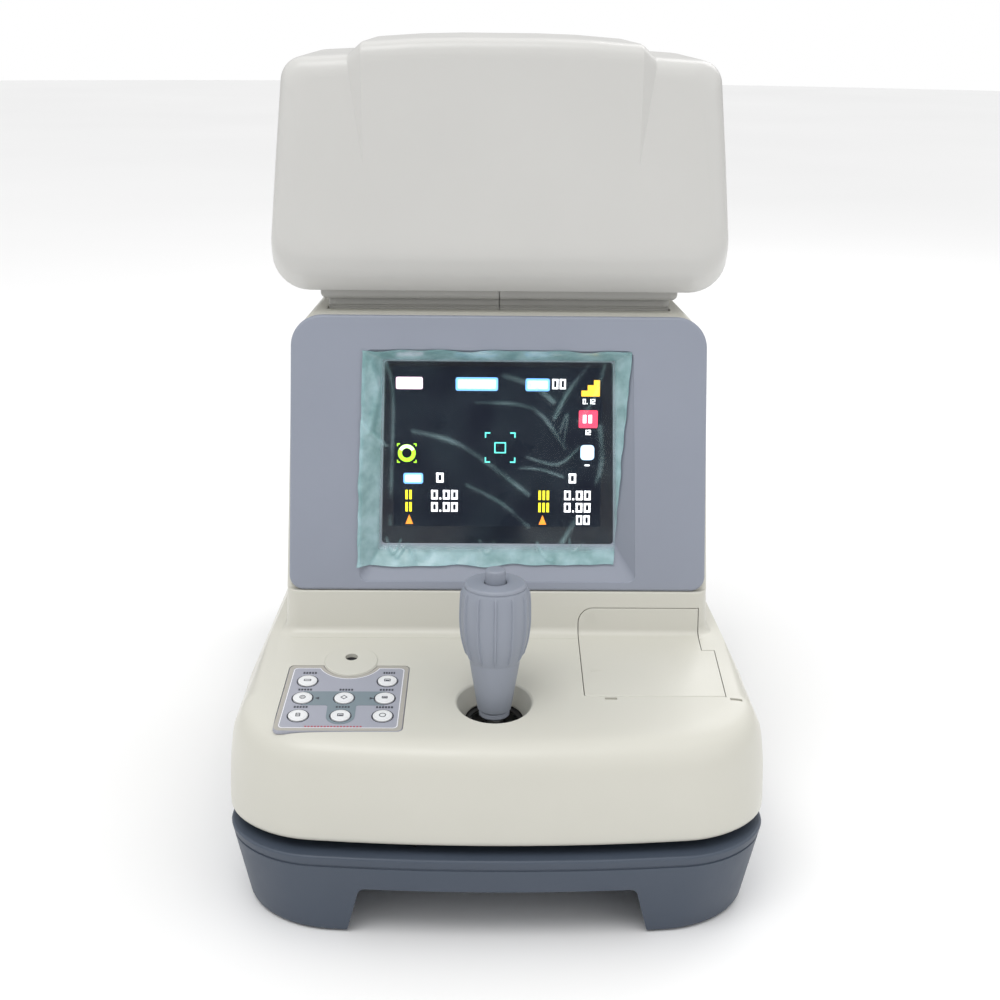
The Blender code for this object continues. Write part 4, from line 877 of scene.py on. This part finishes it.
def fold_height(x, up):
    """How far the folds lift the film here, and how strongly each fold is painted as a highlight streak."""
    lift, shown = 0.0, 0.0
    here = Vector((x, up))
    for line, width, height in FOLDS:
        points = [Vector(p[:2]) for p in curve_through(line, 8)]
        nearest = 1e9
        for a, b in zip(points, points[1:]):
            along = b - a
            share = min(1.0, max(0.0, (here - a).dot(along) / along.length_squared))
            nearest = min(nearest, (here - a - along * share).length)
        bell = math.exp(-(nearest / (FOLD_SHARPNESS * width)) ** 2)
        lift += height * bell
        shown = max(shown, bell)
    return lift, shown


def make_film():
    """A thin crumpled sheet over the screen and the slopes round it."""
    across, upward = 170, 142
    points, veil_and_fold_highlight = [], []
    for j in range(upward + 1):
        for i in range(across + 1):
            u, v = i / across, j / upward
            ragged = 1.2 * noise.noise(Vector((u * 9, v * 9, 3.0)))
            left, right = FILM_LEFT + FILM_SKEW_LEFT * v, FILM_RIGHT + FILM_SKEW_RIGHT * v
            x = left + (right - left) * u + (ragged if i in (0, across) else 0)
            frayed = ragged * 1.6 if j in (0, upward) else 0
            up = FILM_LOW + (FILM_TOP - FILM_LOW) * v + frayed + 1.6 * u * (1 - v)
            half = 76.2 - 3.6 * (up - 29.5) / 127.7
            slope = min((half - abs(x)) / 11.0, (up - 29.5) / 19.5, (157.2 - up) / 6.6)
            slope = min(1.0, max(0.0, slope))
            lift, shown = fold_height(x, up)
            ripple = noise.noise(Vector((x * 0.12, up * 0.12, 0.5))) * 0.5
            on_slope = 1.0 - max(0.0, min(1.0, (slope - 0.75) / 0.25))
            inward = 10.0 * slope - 1.0 - lift - 0.6 * abs(ripple)
            points.append(face_point(x, up, min(inward, 9.0)))
            patchy = 0.5 + noise.noise(Vector((x * 0.05, up * 0.05, 7.0)))
            # opacity: faint random haze, high on the slopes, and raised along the folds as a painted
            # highlight
            veil_and_fold_highlight.append(min(0.85, 0.015 * patchy + 0.62 * on_slope + 0.2 * shown * patchy))
    row = across + 1
    faces = [(j * row + i, j * row + i + 1, (j + 1) * row + i + 1, (j + 1) * row + i)
             for j in range(upward) for i in range(across)]
    film = raw("screen_film", (points, faces))
    attribute = film.data.attributes.new("veil_and_fold_highlight", "FLOAT", "POINT")
    attribute.data.foreach_set("value", veil_and_fold_highlight)
    thick = film.modifiers.new("thick", "SOLIDIFY")
    thick.thickness = 0.12 * MM
    thick.offset = 0.0
    settle(film)
    finish_piece(film, "stage", "silicone", material=film_look(), angle=60)


# ---- neck ---------------------------------------------------------------------------------
def half_ring(side, grow, z):
    outer_x, inner_x = NECK_HALF + grow, NECK_HALF + min(grow, SKIRT_OUT) - NECK_WALL
    front, back = NECK_FRONT - grow, NECK_BACK + grow
    plan = outline([(0.2, front, 0), (outer_x, front, 5.0), (outer_x, back, 5.0), (0.2, back, 0),
                    (0.2, back - NECK_WALL, 0), (inner_x, back - NECK_WALL, 2.5),
                    (inner_x, front + NECK_WALL, 2.5), (0.2, front + NECK_WALL, 0)], 6)
    return [(side * x, d, z) for x, d in plan]


def make_neck():
    for name, side in (("left", -1), ("right", 1)):
        levels = [(287.0, 0.0), (294.6, 0.0), (294.9, -0.7), (295.6, -0.7), (295.9, 0.0), (329.0, 0.0)]
        piece("neck_collar_shell_" + name, loft([half_ring(side, grow, z) for z, grow in levels]),
              "stage", "neck_grey", ("neck_collar_" + name,))
        levels = [(299.4, 1.6), (299.6, 2.6), (300.3, 3.4), (301.4, 3.9), (302.6, 4.0), (312.0, 4.0)]
        skirt = []
        for z, grow in levels:
            ring = half_ring(side, grow, z)
            inner = half_ring(side, SKIRT_OUT, z)
            count = len(ring) - 4 - 2 * 7 + 2
            skirt.append(ring[:count] + inner[count:])
        piece("neck_skirt_shell_" + name, loft(skirt), "head", "neck_grey", ("neck_skirt_" + name,))


# ---- keypad -------------------------------------------------------------------------------
def key_hole(x, d):
    plan = [(x + a, d + b) for a, b in circle(KEY_RADIUS + KEY_GAP, 64)]
    return sheet_on(deck_point, plan, -4.0, 3.0)


def make_keypad():
    rings = [[deck_point(x, d, rise) for x, d in pad_outline(inset, notch_grow=0.6 + inset)]
             for rise, inset in ((-PAD_RECESS + GAP, 0.0), (-0.25, 0.0), (0.0, 0.25))]
    panel = raw("keypad_overlay", loft(rings))
    for x, d in KEYS.values():
        combine(panel, key_hole(x, d))
    finish_piece(panel, "stage", "keypad_film", ("keypad_panel",))
    low, high = 0.02, 0.12
    border = strip_on(deck_point, pad_outline(0.3, notch_grow=0.9), pad_outline(2.3, 2.4, 2.6), low, high)
    piece("keypad_border", border, "stage", "keypad_film", material=PAD_BEIGE)
    line = strip_on(deck_point, pad_outline(2.5, 2.4, 2.8), pad_outline(3.0, 2.0, 3.3), low, high)
    piece("keypad_line", line, "stage", "keypad_film", material=PAD_WHITE)
    (left, row), (right, _) = KEYS["key_side"], KEYS["key_auto"]
    stem_x, stem_d = KEYS["key_data"]
    band = outline([(left, row - 6.4, 0), (stem_x - 7.4, row - 6.4, 1.5), (stem_x - 7.4, stem_d - 7.2, 7.0),
                    (stem_x + 7.4, stem_d - 7.2, 7.0), (stem_x + 7.4, row - 6.4, 1.5), (right, row - 6.4, 0),
                    (right, row + 6.4, 0), (left, row + 6.4, 0)], 6)
    band_piece = raw("keypad_band", sheet_on(deck_point, band, low, high))
    for x, d in KEYS.values():
        combine(band_piece, key_hole(x, d))
    finish_piece(band_piece, "stage", "keypad_film", material=PAD_BAND)
    rings_shape, labels = [], []
    for name, (x, d) in KEYS.items():
        outer, inner = ([(x + a, d + b) for a, b in circle(KEY_RADIUS + grow, 64)]
                        for grow in (0.75, 0.4))
        rings_shape.append(strip_on(deck_point, outer, inner, 0.03, 0.16))
        wide = {"key_display": 4.6, "key_menu": 3.3}.get(name, 3.8)
        plans = bars_between(x + 0.8 - wide, x + 0.8 + wide, d + 7.3, d + 8.9, 6 if wide > 4 else 5, 0.68)
        labels += [sheet_on(deck_point, plan, 0.03, 0.15) for plan in plans]
    for x, way in ((-93.8, -1), (-65.8, 1)):
        arrow = [(x + way * 1.3, row), (x - way * 0.9, row + 1.2), (x - way * 0.9, row - 1.2)]
        labels.append(sheet_on(deck_point, arrow, 0.03, 0.17))
    piece("keypad_rings", merged(rings_shape), "stage", "keypad_film", material=INK)
    piece("keypad_labels", merged(labels), "stage", "keypad_film", material=INK)
    red = [sheet_on(deck_point, plan, 0.03, 0.15) for plan in bars_between(-98, -68.5, 31.2, 32.3, 18, 0.6)]
    piece("keypad_red_line", merged(red), "stage", "keypad_film", material=PAD_RED)
    for name, centre in KEYS.items():
        make_key(name, centre)


def make_key(name, centre):
    x, d = centre
    profile = [(1.0, -1.2), (1.0, 0.35), (0.985, 0.5), (0.95, 0.6), (0.84, 0.66), (0.83, 0.5), (0.79, 0.5),
               (0.78, 0.68), (0.5, 0.76), (0.2, 0.8)]
    rings = [[deck_point(x + a * share, d + b * share, rise) for a, b in circle(KEY_RADIUS, 64)]
             for share, rise in profile]
    piece(name + "_cap", loft(rings), name, "key_white", (name,))
    wide = {"key_reset": (1.9, 0.9), "key_menu": (1.7, 1.2), "key_side": (1.6, 1.6), "key_step": (1.5, 1.5),
            "key_auto": (1.5, 1.0), "key_print": (1.2, 1.5), "key_data": (1.6, 1.2),
            "key_display": (1.8, 1.8)}[name]
    corner = min(wide) * (0.98 if name in ("key_side", "key_display") else 0.25)

    def on_key(u, v, height):
        return deck_point(x + u, d + v, KEY_FACE + height)

    outer = rounded_box(-wide[0], wide[0], -wide[1], wide[1], corner, 6)
    inner = [(u * (1 - 0.45 / wide[0]), v * (1 - 0.45 / wide[1])) for u, v in outer]
    shapes = [strip_on(on_key, outer, inner, 0.0, 0.12)]
    if name == "key_step":
        diamond = [(1.9, 0), (0, 1.9), (-1.9, 0), (0, -1.9)]
        shapes = [strip_on(on_key, diamond, [(u * 0.68, v * 0.68) for u, v in diamond], 0.0, 0.12)]
    if name in ("key_auto", "key_data", "key_menu"):
        shapes.append(sheet_on(on_key,
                               rounded_box(-wide[0] * 0.55, wide[0] * 0.6, -wide[1] * 0.6, 0.1, 0.15, 3),
                               0.0, 0.13))
    if name in ("key_print", "key_side"):
        shapes += [sheet_on(on_key, rounded_box(-0.7, 0.7, v, v + 0.22, 0.08, 2), 0.0, 0.13)
                   for v in (-0.5, 0.2)]
    piece(name + "_icon", merged(shapes), name, "key_white", material=INK)


# ---- printer ------------------------------------------------------------------------------
def make_printer():
    top_d = face_d(LID_TOP_Z)
    fillet = 4.0
    upper = outline([(LID_FRONT, deck_z(LID_FRONT) - LID_THICK, 1.1),
                     (FOOT_D + LID_THICK, deck_z(FOOT_D) - LID_THICK, 0), (top_d + LID_THICK, LID_TOP_Z, 0),
                     (top_d, LID_TOP_Z, 0.6), (FOOT_D, deck_z(FOOT_D), fillet),
                     (LID_FRONT, deck_z(LID_FRONT), 0.9)], 6)
    lid = raw("printer_lid_shell", side_prism(upper, LID_LEFT, LID_RIGHT))
    flap = outline([(LID_FRONT, deck_z(LID_FRONT) - LID_THICK, 1.1),
                    (LID_STEP_D, deck_z(LID_STEP_D) - LID_THICK, 0),
                    (LID_STEP_D, deck_z(LID_STEP_D), 0), (LID_FRONT, deck_z(LID_FRONT), 0.9)], 6)
    combine(lid, side_prism(flap, LID_RIGHT - 20, LID_DECK_RIGHT), "UNION")
    for shape in lid_edges(0.0):
        combine(lid, shape, "INTERSECT")
    soften(lid, 0.35)
    finish_piece(lid, "printer_lid", "cream_shell", ("printer_lid",), angle=28)
    marks = []
    for k in range(4):
        marks.append(sheet_on(deck_point, rounded_box(50 + 1.6 * k, 50.8 + 1.6 * k, 84 + 0.4 * k, 87, 0.2, 2),
                              0.0, 0.14))
        marks.append(sheet_on(lambda u, v, h: face_point(u, v, -h),
                              rounded_box(49.4 + 1.5 * k, 50.1 + 1.5 * k, 6.5, 11.5, 0.2, 2), 0.0, 0.14))
    piece("printer_lid_marks", merged(marks), "printer_lid", "cream_shell")


# ---- measuring head -----------------------------------------------------------------------
def head_half(z):
    return HEAD_HALF_AT_CHIN + (HEAD_CHIN - z) * HEAD_SIDE_LEAN


def head_ring(d, inset=0.0, bottom=HEAD_BOTTOM, corner=20.0):
    crown = [(HOOD_STEP_OUT, SHOULDER_Z, 2.5), (HOOD_STEP_IN, HOOD_EDGE_Z, 3.0),
             (46.0, HOOD_EDGE_Z + 1.9, 40.0), (22.0, HEAD_TOP - 0.2, 40.0)]
    right = [(head_half(bottom) - inset, bottom + inset, corner),
             (head_half(SHOULDER_LOW_Z) - inset, SHOULDER_LOW_Z - inset, 12.0)]
    right += [(x, z - inset, r) for x, z, r in crown]
    corners = right + [(-x, z, r) for x, z, r in reversed(right)]
    return [(x, d, z) for x, z in outline(corners, 10)]


def wedge_shift(point):
    """The head's shoulders fall back from the hood; the step dies out down the face."""
    x, d, z = point
    rise = max(0.0, z - WEDGE_Z)
    reach = SHOULDER_Z - WEDGE_Z
    inner = WEDGE_X + 0.3 * rise / reach
    outer = WEDGE_X + (HOOD_STEP_OUT + 0.5 - WEDGE_X) * rise / reach
    across = min(1.0, max(0.0, (abs(x) - inner) / max(outer - inner, 0.01)))
    fade = min(1.0, max(0.0, (HEAD_SPLIT - 10 - d) / (HEAD_SPLIT - 10 - 158)))
    return WEDGE_DEPTH * min(1.0, rise / reach) * across * fade


def crease(thing):
    """Slices the front cover along the wedge's lines, then moves its points back."""
    form = bmesh.new()
    form.from_mesh(thing.data)
    reach = SHOULDER_Z - WEDGE_Z
    for side in (-1, 1):
        for run in (0.3, HOOD_STEP_OUT + 0.5 - WEDGE_X):
            normal = Vector((side * reach, 0.0, -run)).normalized()
            bmesh.ops.bisect_plane(form, geom=form.verts[:] + form.edges[:] + form.faces[:],
                                   plane_co=place((side * WEDGE_X, HEAD_FRONT, WEDGE_Z)), plane_no=normal)
    for z in (WEDGE_Z, SHOULDER_Z):
        bmesh.ops.bisect_plane(form, geom=form.verts[:] + form.edges[:] + form.faces[:],
                               plane_co=place((0, HEAD_FRONT, z)), plane_no=(0, 0, 1))
    for vertex in form.verts:
        point = ((vertex.co.x - MIDDLE_X) / MM, (vertex.co.y - FRONT_Y) / MM, vertex.co.z / MM)
        vertex.co.y += wedge_shift(point) * MM
    form.to_mesh(thing.data)
    form.free()


def make_head():
    front_edge = [(140.0, 10.5, 325.5, 10.0), (140.25, 7.5, 323.6, 12.0), (141.2, 4.2, 321.8, 14.0),
                  (143.0, 2.0, 319.6, 16.5), (146.0, 0.7, 315.5, 19.0), (150.0, 0.15, 311.6, 20.0),
                  (158.0, 0.0, 305.0, 20.0)]
    rings = [head_ring(*level) for level in curve_through(front_edge, 24)] + [head_ring(HEAD_SPLIT)]
    cover = raw("head_front_shell", loft(rings))
    crease(cover)
    combine(cover, loft([head_ring(HEAD_FRONT + 6.5, 8.0, HEAD_CHIN, 12),
                         head_ring(HEAD_FRONT + 19, 5.2, HEAD_BOTTOM),
                         head_ring(HEAD_SPLIT + 9, 3.2)]))
    combine(cover, neck_opening(298, 316, SKIRT_OUT + 0.4))
    soften(cover, 0.5, angle=50)
    finish_piece(cover, "head", "head_shell", ("head_front_cover",), angle=20)

    back_edge = [(HEAD_SPLIT + GAP, 0.0), (290, 0.2), (330, 1.5), (355, 3.6), (372, 6.0), (382, 9.0),
                 (388, 12.0), (393, 16.5), (HEAD_BACK, 22.0)]
    rings = [head_ring(d, inset, HEAD_BOTTOM, 20) for d, inset in curve_through(back_edge, 30)]
    cover = raw("head_rear_shell", loft(rings))
    inside = [head_ring(HEAD_SPLIT - 9, 3.2), head_ring(330, 4.8), head_ring(371, 9.4), head_ring(385, 15.4),
              head_ring(HEAD_BACK - 3.5, 25)]
    combine(cover, loft(inside))
    combine(cover, neck_opening(298, 316, SKIRT_OUT + 0.4))
    combine(cover, turned([(27.3, -30), (27.3, 30)], (0, HEAD_BACK, AXIS_Z), "y"))
    soften(cover, 0.5, angle=50)
    finish_piece(cover, "head", "head_shell", ("head_rear_cover",), angle=28)
    for x in (-84, 84):
        make_screw("head_screw_" + ("left" if x < 0 else "right"), (x, HEAD_BACK + 0.1, 340.0), "head", 2.6)

    axis = (0, 0, AXIS_Z)
    ring = [(20, 388), (27, 388), (27, 399), (26.4, 400.8), (25, 402), (22, 403.4), (19, 404), (19, 400),
            (20, 398)]
    piece("kerato_ring_shell", turned(ring, axis, "y", bored=True), "head", "black_plastic", ("kerato_ring",))
    lens = [(17.5, 389), (18.4, 390), (18.4, 394), (17.8, 395.6), (16.0, 396.9), (12.0, 397.8), (6.0, 398)]
    piece("window_lens", turned(lens, axis, "y"), "head", "black_glass", ("measuring_window",))
    dots = []
    for a, b in circle(23.6, 12):
        profile = [(1.3, 402.2), (1.3, 403.1), (1.0, 403.5), (0.4, 403.7)]
        dots.append(turned(profile, (a, 0, AXIS_Z + b), "y", 20))
    piece("kerato_lamps", merged(dots), "head", "black_plastic", material=LOOKS["silicone"])


# ---- joystick -----------------------------------------------------------------------------
def make_joystick():
    bore, recess = 4.6, 5.7
    ribs, rib_height = 12, 0.95
    cone = [(7.2, 101.5), (7.9, 102.2), (7.9, 104.0), (7.5, 104.4), (7.9, 104.8), (8.7, 105.6), (12.9, 131.6)]
    barrel = curve_through([(13.7, 134.2), (16.2, 143.0), (17.3, 152.0), (17.35, 160.0), (17.0, 168.0),
                            (16.2, 172.0)], 16)
    profile = cone + [(12.9, 132.4), (13.1, 133.2)] + [tuple(p) for p in barrel]
    profile += [(15.9, 172.6), (15.5, 172.8), (15.5, 173.2), (15.8, 173.4), (15.6, 174.2), (14.9, 174.8),
                (14.2, 175.0)]
    profile += [(recess + 0.4, 175.0), (recess, 174.6), (recess, 167.5), (bore, 167.0), (bore, 101.5)]
    turns = [math.radians(a) for a in (-2.6, -1.3, 1.3, 2.6, 7, 11, 15, 19, 23)]
    rings = []
    for radius, z in profile:
        on_barrel = 0.0 if radius <= recess + 0.4 else min(1.0, max(0.0, min(z - 134.6, 171.6 - z) / 1.2))
        ring = []
        for rib in range(ribs):
            for k, turn in enumerate(turns):
                angle = 2 * math.pi * rib / ribs + turn
                out = radius + (rib_height * on_barrel if k in (1, 2) else 0.0)
                ring.append((STICK_X + out * math.cos(angle), STICK_D + out * math.sin(angle), z))
        rings.append(ring)
    piece("grip_shell", loft(rings, closed=True), "joystick_grip", "stick_blue", ("joystick_grip",), angle=30)
    button = [(5.2, 170.8), (5.2, 180.6)] + [(5.2 - inset, 182.0 - drop) for inset, drop in edge(1.2, 5)[1:]]
    button += [(2.0, 182.0)]
    piece("fire_button_cap", turned(button, (STICK_X, STICK_D, 0)), "joystick_button", "stick_blue",
          ("joystick_button",), angle=40)
    # a near-black ring seen round the edge of the well's throat: painted shadow in the gap round the dust cap
    ring = [(13.2, -13.4), (16.6, -13.4), (16.6, -12.5), (15.8, -12.3), (13.5, -12.3), (13.2, -12.6)]
    rings = [[deck_point(STICK_X + a * r, STICK_D + b * r, rise) for a, b in circle(1.0)] for r, rise in ring]
    piece("well_shadow_ring", loft(rings, closed=True), "stage", "rubber")


# ---- face rest ----------------------------------------------------------------------------
def make_face_rest():
    levels = [(REST_LOW, 0.0), (REST_HIGH - 8, 1.2)]
    levels += [(REST_HIGH - drop, 1.2 + inset) for inset, drop in edge(5, 8)]
    rings = [[(x, d, z) for x, d in rounded_box(-128 + i, 128 - i, REST_FRONT + i, REST_BACK - i, 14)]
             for z, i in levels]
    piece("face_rest_block", loft(rings), "base", "cream_shell", ("face_rest_base",))

    path = [(COLUMN_X, REST_HIGH + GAP), (COLUMN_X, REST_HIGH + 4)]
    path += [(COLUMN_X, z) for z in range(100, 361, 20)]
    centre_x, centre_z = COLUMN_X - ARCH_RADIUS, ARCH_TOP - COLUMN_WIDE / 2 - ARCH_RADIUS
    path += [(centre_x + ARCH_RADIUS * math.cos(math.pi / 2 * k / 20),
              centre_z + ARCH_RADIUS * math.sin(math.pi / 2 * k / 20)) for k in range(21)]
    path += [(-x, z) for x, z in reversed(path)]
    section = rounded_box(-COLUMN_WIDE / 2, COLUMN_WIDE / 2, -COLUMN_DEEP / 2, COLUMN_DEEP / 2, 4.2, 6)
    rings = []
    for i, (x, z) in enumerate(path):
        before, after = path[max(i - 1, 0)], path[min(i + 1, len(path) - 1)]
        along = Vector((after[0] - before[0], after[1] - before[1])).normalized()
        rings.append([(x + u * along[1], COLUMN_D + v, z - u * along[0]) for u, v in section])
    piece("face_rest_tube", loft(rings), "base", "cream_shell", ("face_rest_frame",))
    for side, x in (("left", -COLUMN_X), ("right", COLUMN_X)):
        sleeve = [[(x + u * s, COLUMN_D + v * s, z) for u, v in rounded_box(-9, 9, -11, 11, 5)]
                  for z, s in ((REST_HIGH + 0.4, 1.0), (REST_HIGH + 3.0, 1.0), (REST_HIGH + 3.8, 0.96),
                               (REST_HIGH + 4.2, 0.88))]
        piece("column_sleeve_" + side, loft(sleeve), "base", "slate_base")
        marks = [box((x - 5.2, COLUMN_D + 7.96, 300 + dz), (x + 5.2, COLUMN_D + 8.12, 300.8 + dz))
                 for dz in (0, 6)]
        piece("eye_level_marks_" + side, merged(marks), "base", "black_plastic", material=INK)

    pad_d = COLUMN_D + COLUMN_DEEP / 2 + GAP
    rings = []
    end = [(58.0, 4.4), (57.6, 2.6), (56.4, 1.0), (54.0, 0.2)]
    stations = [(-x, slim) for x, slim in end] + [(-48.0 + 6 * k, 0.0) for k in range(17)]
    for x, slim in stations + end[::-1]:
        thick = 6.7 - 2.5 * (1 - (x / 58.0) ** 2) - slim * 0.8
        crown = rounded_box(pad_d, pad_d + thick, 388 + slim / 2, 409 - slim / 2, min(thick, 6.0) * 0.48, 6)
        rings.append([(x, d + (0.25 * math.sin(x * 0.9) if d > pad_d + 2 else 0.0), z) for d, z in crown])
    pad = piece("forehead_cushion", loft(rings), "base", "silicone", ("forehead_pad",), angle=50)

    middle = (0.0, COLUMN_D - 10, GUIDE_TOP)
    outer = rounded_box(-14, 14, COLUMN_D - 22, COLUMN_D + 2, 5)
    inner = rounded_box(-9, 9, COLUMN_D - 17, COLUMN_D - 3, 2)
    low = REST_HIGH + GAP
    levels = [(outer, low, 1.0), (outer, GUIDE_TOP - 2.0, 1.0), (outer, GUIDE_TOP - 0.6, 0.985),
              (outer, GUIDE_TOP, 0.93),
              (inner, GUIDE_TOP, 1.0), (inner, low, 1.0)]
    rings = [[(x * s, middle[1] + (d - middle[1]) * s, z) for x, d in plan] for plan, z, s in levels]
    piece("chin_guide_tube", loft(rings, closed=True), "base", "cream_shell", ("chin_guide",))

    rings = []
    for x, rim in ((-38, 8.0), (-37.2, 9.6), (-35.0, 10.8), (-28.0, 6.5), (-16.0, 1.6), (0.0, 0.0),
                   (16.0, 1.6), (28.0, 6.5), (35.0, 10.8), (37.2, 9.6), (38, 8.0)):
        end = 5.0 if abs(x) > 37.5 else (1.2 if abs(x) > 36 else 0.0)
        under, top = CUP_FLOOR - 3 + max(0.0, rim - 4), CUP_FLOOR + rim
        front, back = COLUMN_D - 32 + end, COLUMN_D + 12 - end
        rings.append([(x, front + 3, under), (x, back - 3, under), (x, back - 0.8, under + 0.6),
                      (x, back, under + 2),
                      (x, back, top + 0.3), (x, back - 0.8, top + 1), (x, back - 6, top),
                      (x, front + 11, top),
                      (x, front + 7.5, top + 0.8), (x, front + 4, top + 3.6), (x, front + 2, top + 4),
                      (x, front, top + 2.6), (x, front, under + 2), (x, front + 0.8, under + 0.6)])
    piece("chin_cup_shell", loft(smooth_rings(rings, 60)), "chin_rest", "cream_shell", ("chin_cup",),
          angle=40)
    pins = [turned([(1.5, 0.0), (1.5, 7.6), (1.2, 8.4), (0.5, 8.8)], (x, COLUMN_D + 3, CUP_FLOOR + 3.2),
                   count=32)
            for x in (-23.0, 23.0)]
    piece("paper_pins", merged(pins), "chin_rest", "steel")

    rings = []
    for x, size, depth in ((14.3, 6.4, 0), (14.8, 7.0, 0), (18.0, 7.0, 0), (18.6, 10.8, 0.2),
                           (19.4, 11.8, 0.7),
                           (28.0, 12.0, 0.8), (29.2, 11.6, 0.6), (29.9, 10.6, 0.1), (30.0, 9.0, 0)):
        ring = []
        for k in range(96):
            angle = 2 * math.pi * k / 96
            radius = size - depth * (0.5 - 0.5 * math.cos(16 * angle))
            ring.append((x, middle[1] + radius * math.cos(angle), 150 + radius * math.sin(angle)))
        rings.append(ring)
    piece("chin_knob_cap", loft(rings), "chin_knob", "black_plastic", ("chin_knob",), angle=35)


# ---- carried CAD nodes --------------------------------------------------------------------
def dress_carried_nodes():
    """Every CAD node that still shows takes its slot's material."""
    for name, node in frame["nodes"].items():
        if node.hide_render:
            continue
        node.data.materials.clear()
        node.data.materials.append(BLACK_OXIDE if name == "stage_lock_screw" else LOOKS[SLOTS[name]])


# ---- room, light and camera ---------------------------------------------------------------
def make_room():
    ground = raw("ground", turned([(9000, -8.0), (9000, 0.0), (8990, 0.0)], (0, LENGTH / 2, -0.2), count=96))
    graph = Graph("pale_floor")
    graph.links.new(graph.ramp(graph.noise(0.8), [(0.3, (0.90, 0.90, 0.90)), (0.7, (0.93, 0.93, 0.93))]),
                    graph.shader.inputs["Base Color"])
    graph.links.new(graph.spread(graph.noise(2.0), 0.7, 0.8), graph.shader.inputs["Roughness"])
    ground.data.materials.append(graph.material)

    scene = bpy.context.scene
    scene.view_settings.view_transform = "Standard"
    world = bpy.data.worlds.new("studio")
    scene.world = world
    world.use_nodes = True
    nodes, links = world.node_tree.nodes, world.node_tree.links
    sky = nodes["Background"]
    sky.inputs["Color"].default_value = (1.0, 1.0, 1.0, 1.0)
    seen = nodes.new("ShaderNodeBackground")
    seen.inputs["Color"].default_value = (1.0, 1.0, 1.0, 1.0)
    where, split = nodes.new("ShaderNodeTexCoord"), nodes.new("ShaderNodeSeparateXYZ")
    links.new(where.outputs["Generated"], split.inputs["Vector"])
    climb = nodes.new("ShaderNodeMapRange")
    climb.inputs["From Min"].default_value = 0.0
    climb.inputs["From Max"].default_value = 0.8
    climb.inputs["To Min"].default_value = 0.32
    climb.inputs["To Max"].default_value = 1.15
    links.new(split.outputs["Z"], climb.inputs["Value"])
    links.new(climb.outputs["Result"], sky.inputs["Strength"])
    path, mix = nodes.new("ShaderNodeLightPath"), nodes.new("ShaderNodeMixShader")
    links.new(path.outputs["Is Camera Ray"], mix.inputs["Fac"])
    links.new(sky.outputs["Background"], mix.inputs[1])
    links.new(seen.outputs["Background"], mix.inputs[2])
    links.new(mix.outputs["Shader"], nodes["World Output"].inputs["Surface"])
    for name, where, size, power in (("key", (-0.5, -1.0, 2.2), 1.2, 14.0),
                                     ("fill", (1.3, -1.3, 1.0), 1.2, 1.5),
                                     ("rim", (0.9, 1.3, 1.6), 1.2, 8.0)):
        data = bpy.data.lights.new(name, "AREA")
        data.energy, data.size = power, size
        lamp = bpy.data.objects.new(name, data)
        scene.collection.objects.link(lamp)
        lamp.location = where
        lamp.rotation_euler = (Vector((0, 0, 0.22)) - lamp.location).to_track_quat("-Z", "Y").to_euler()


def make_camera():
    pitch, yaw, roll = (math.radians(v) for v in (17.58, 0.89, 0.61))
    forward = Vector((math.sin(yaw) * math.cos(pitch), math.cos(yaw) * math.cos(pitch), -math.sin(pitch)))
    level = Vector((math.cos(yaw), -math.sin(yaw), 0.0))
    above = level.cross(forward)
    right = level * math.cos(roll) + above * math.sin(roll)
    above = above * math.cos(roll) - level * math.sin(roll)
    data = bpy.data.cameras.new("camera")
    data.lens, data.sensor_width = 56.33, 36.0
    camera = bpy.data.objects.new("camera", data)
    bpy.context.scene.collection.objects.link(camera)
    camera.matrix_world = (Matrix.Translation((-0.01169, -0.9268, 0.4537))
                           @ Matrix((right, above, -forward)).transposed().to_4x4())
    bpy.context.scene.camera = camera


def main():
    make_camera()
    make_base()
    make_stage()
    make_monitor()
    make_neck()
    make_keypad()
    make_printer()
    make_head()
    make_joystick()
    make_face_rest()
    dress_carried_nodes()
    make_room()


main()
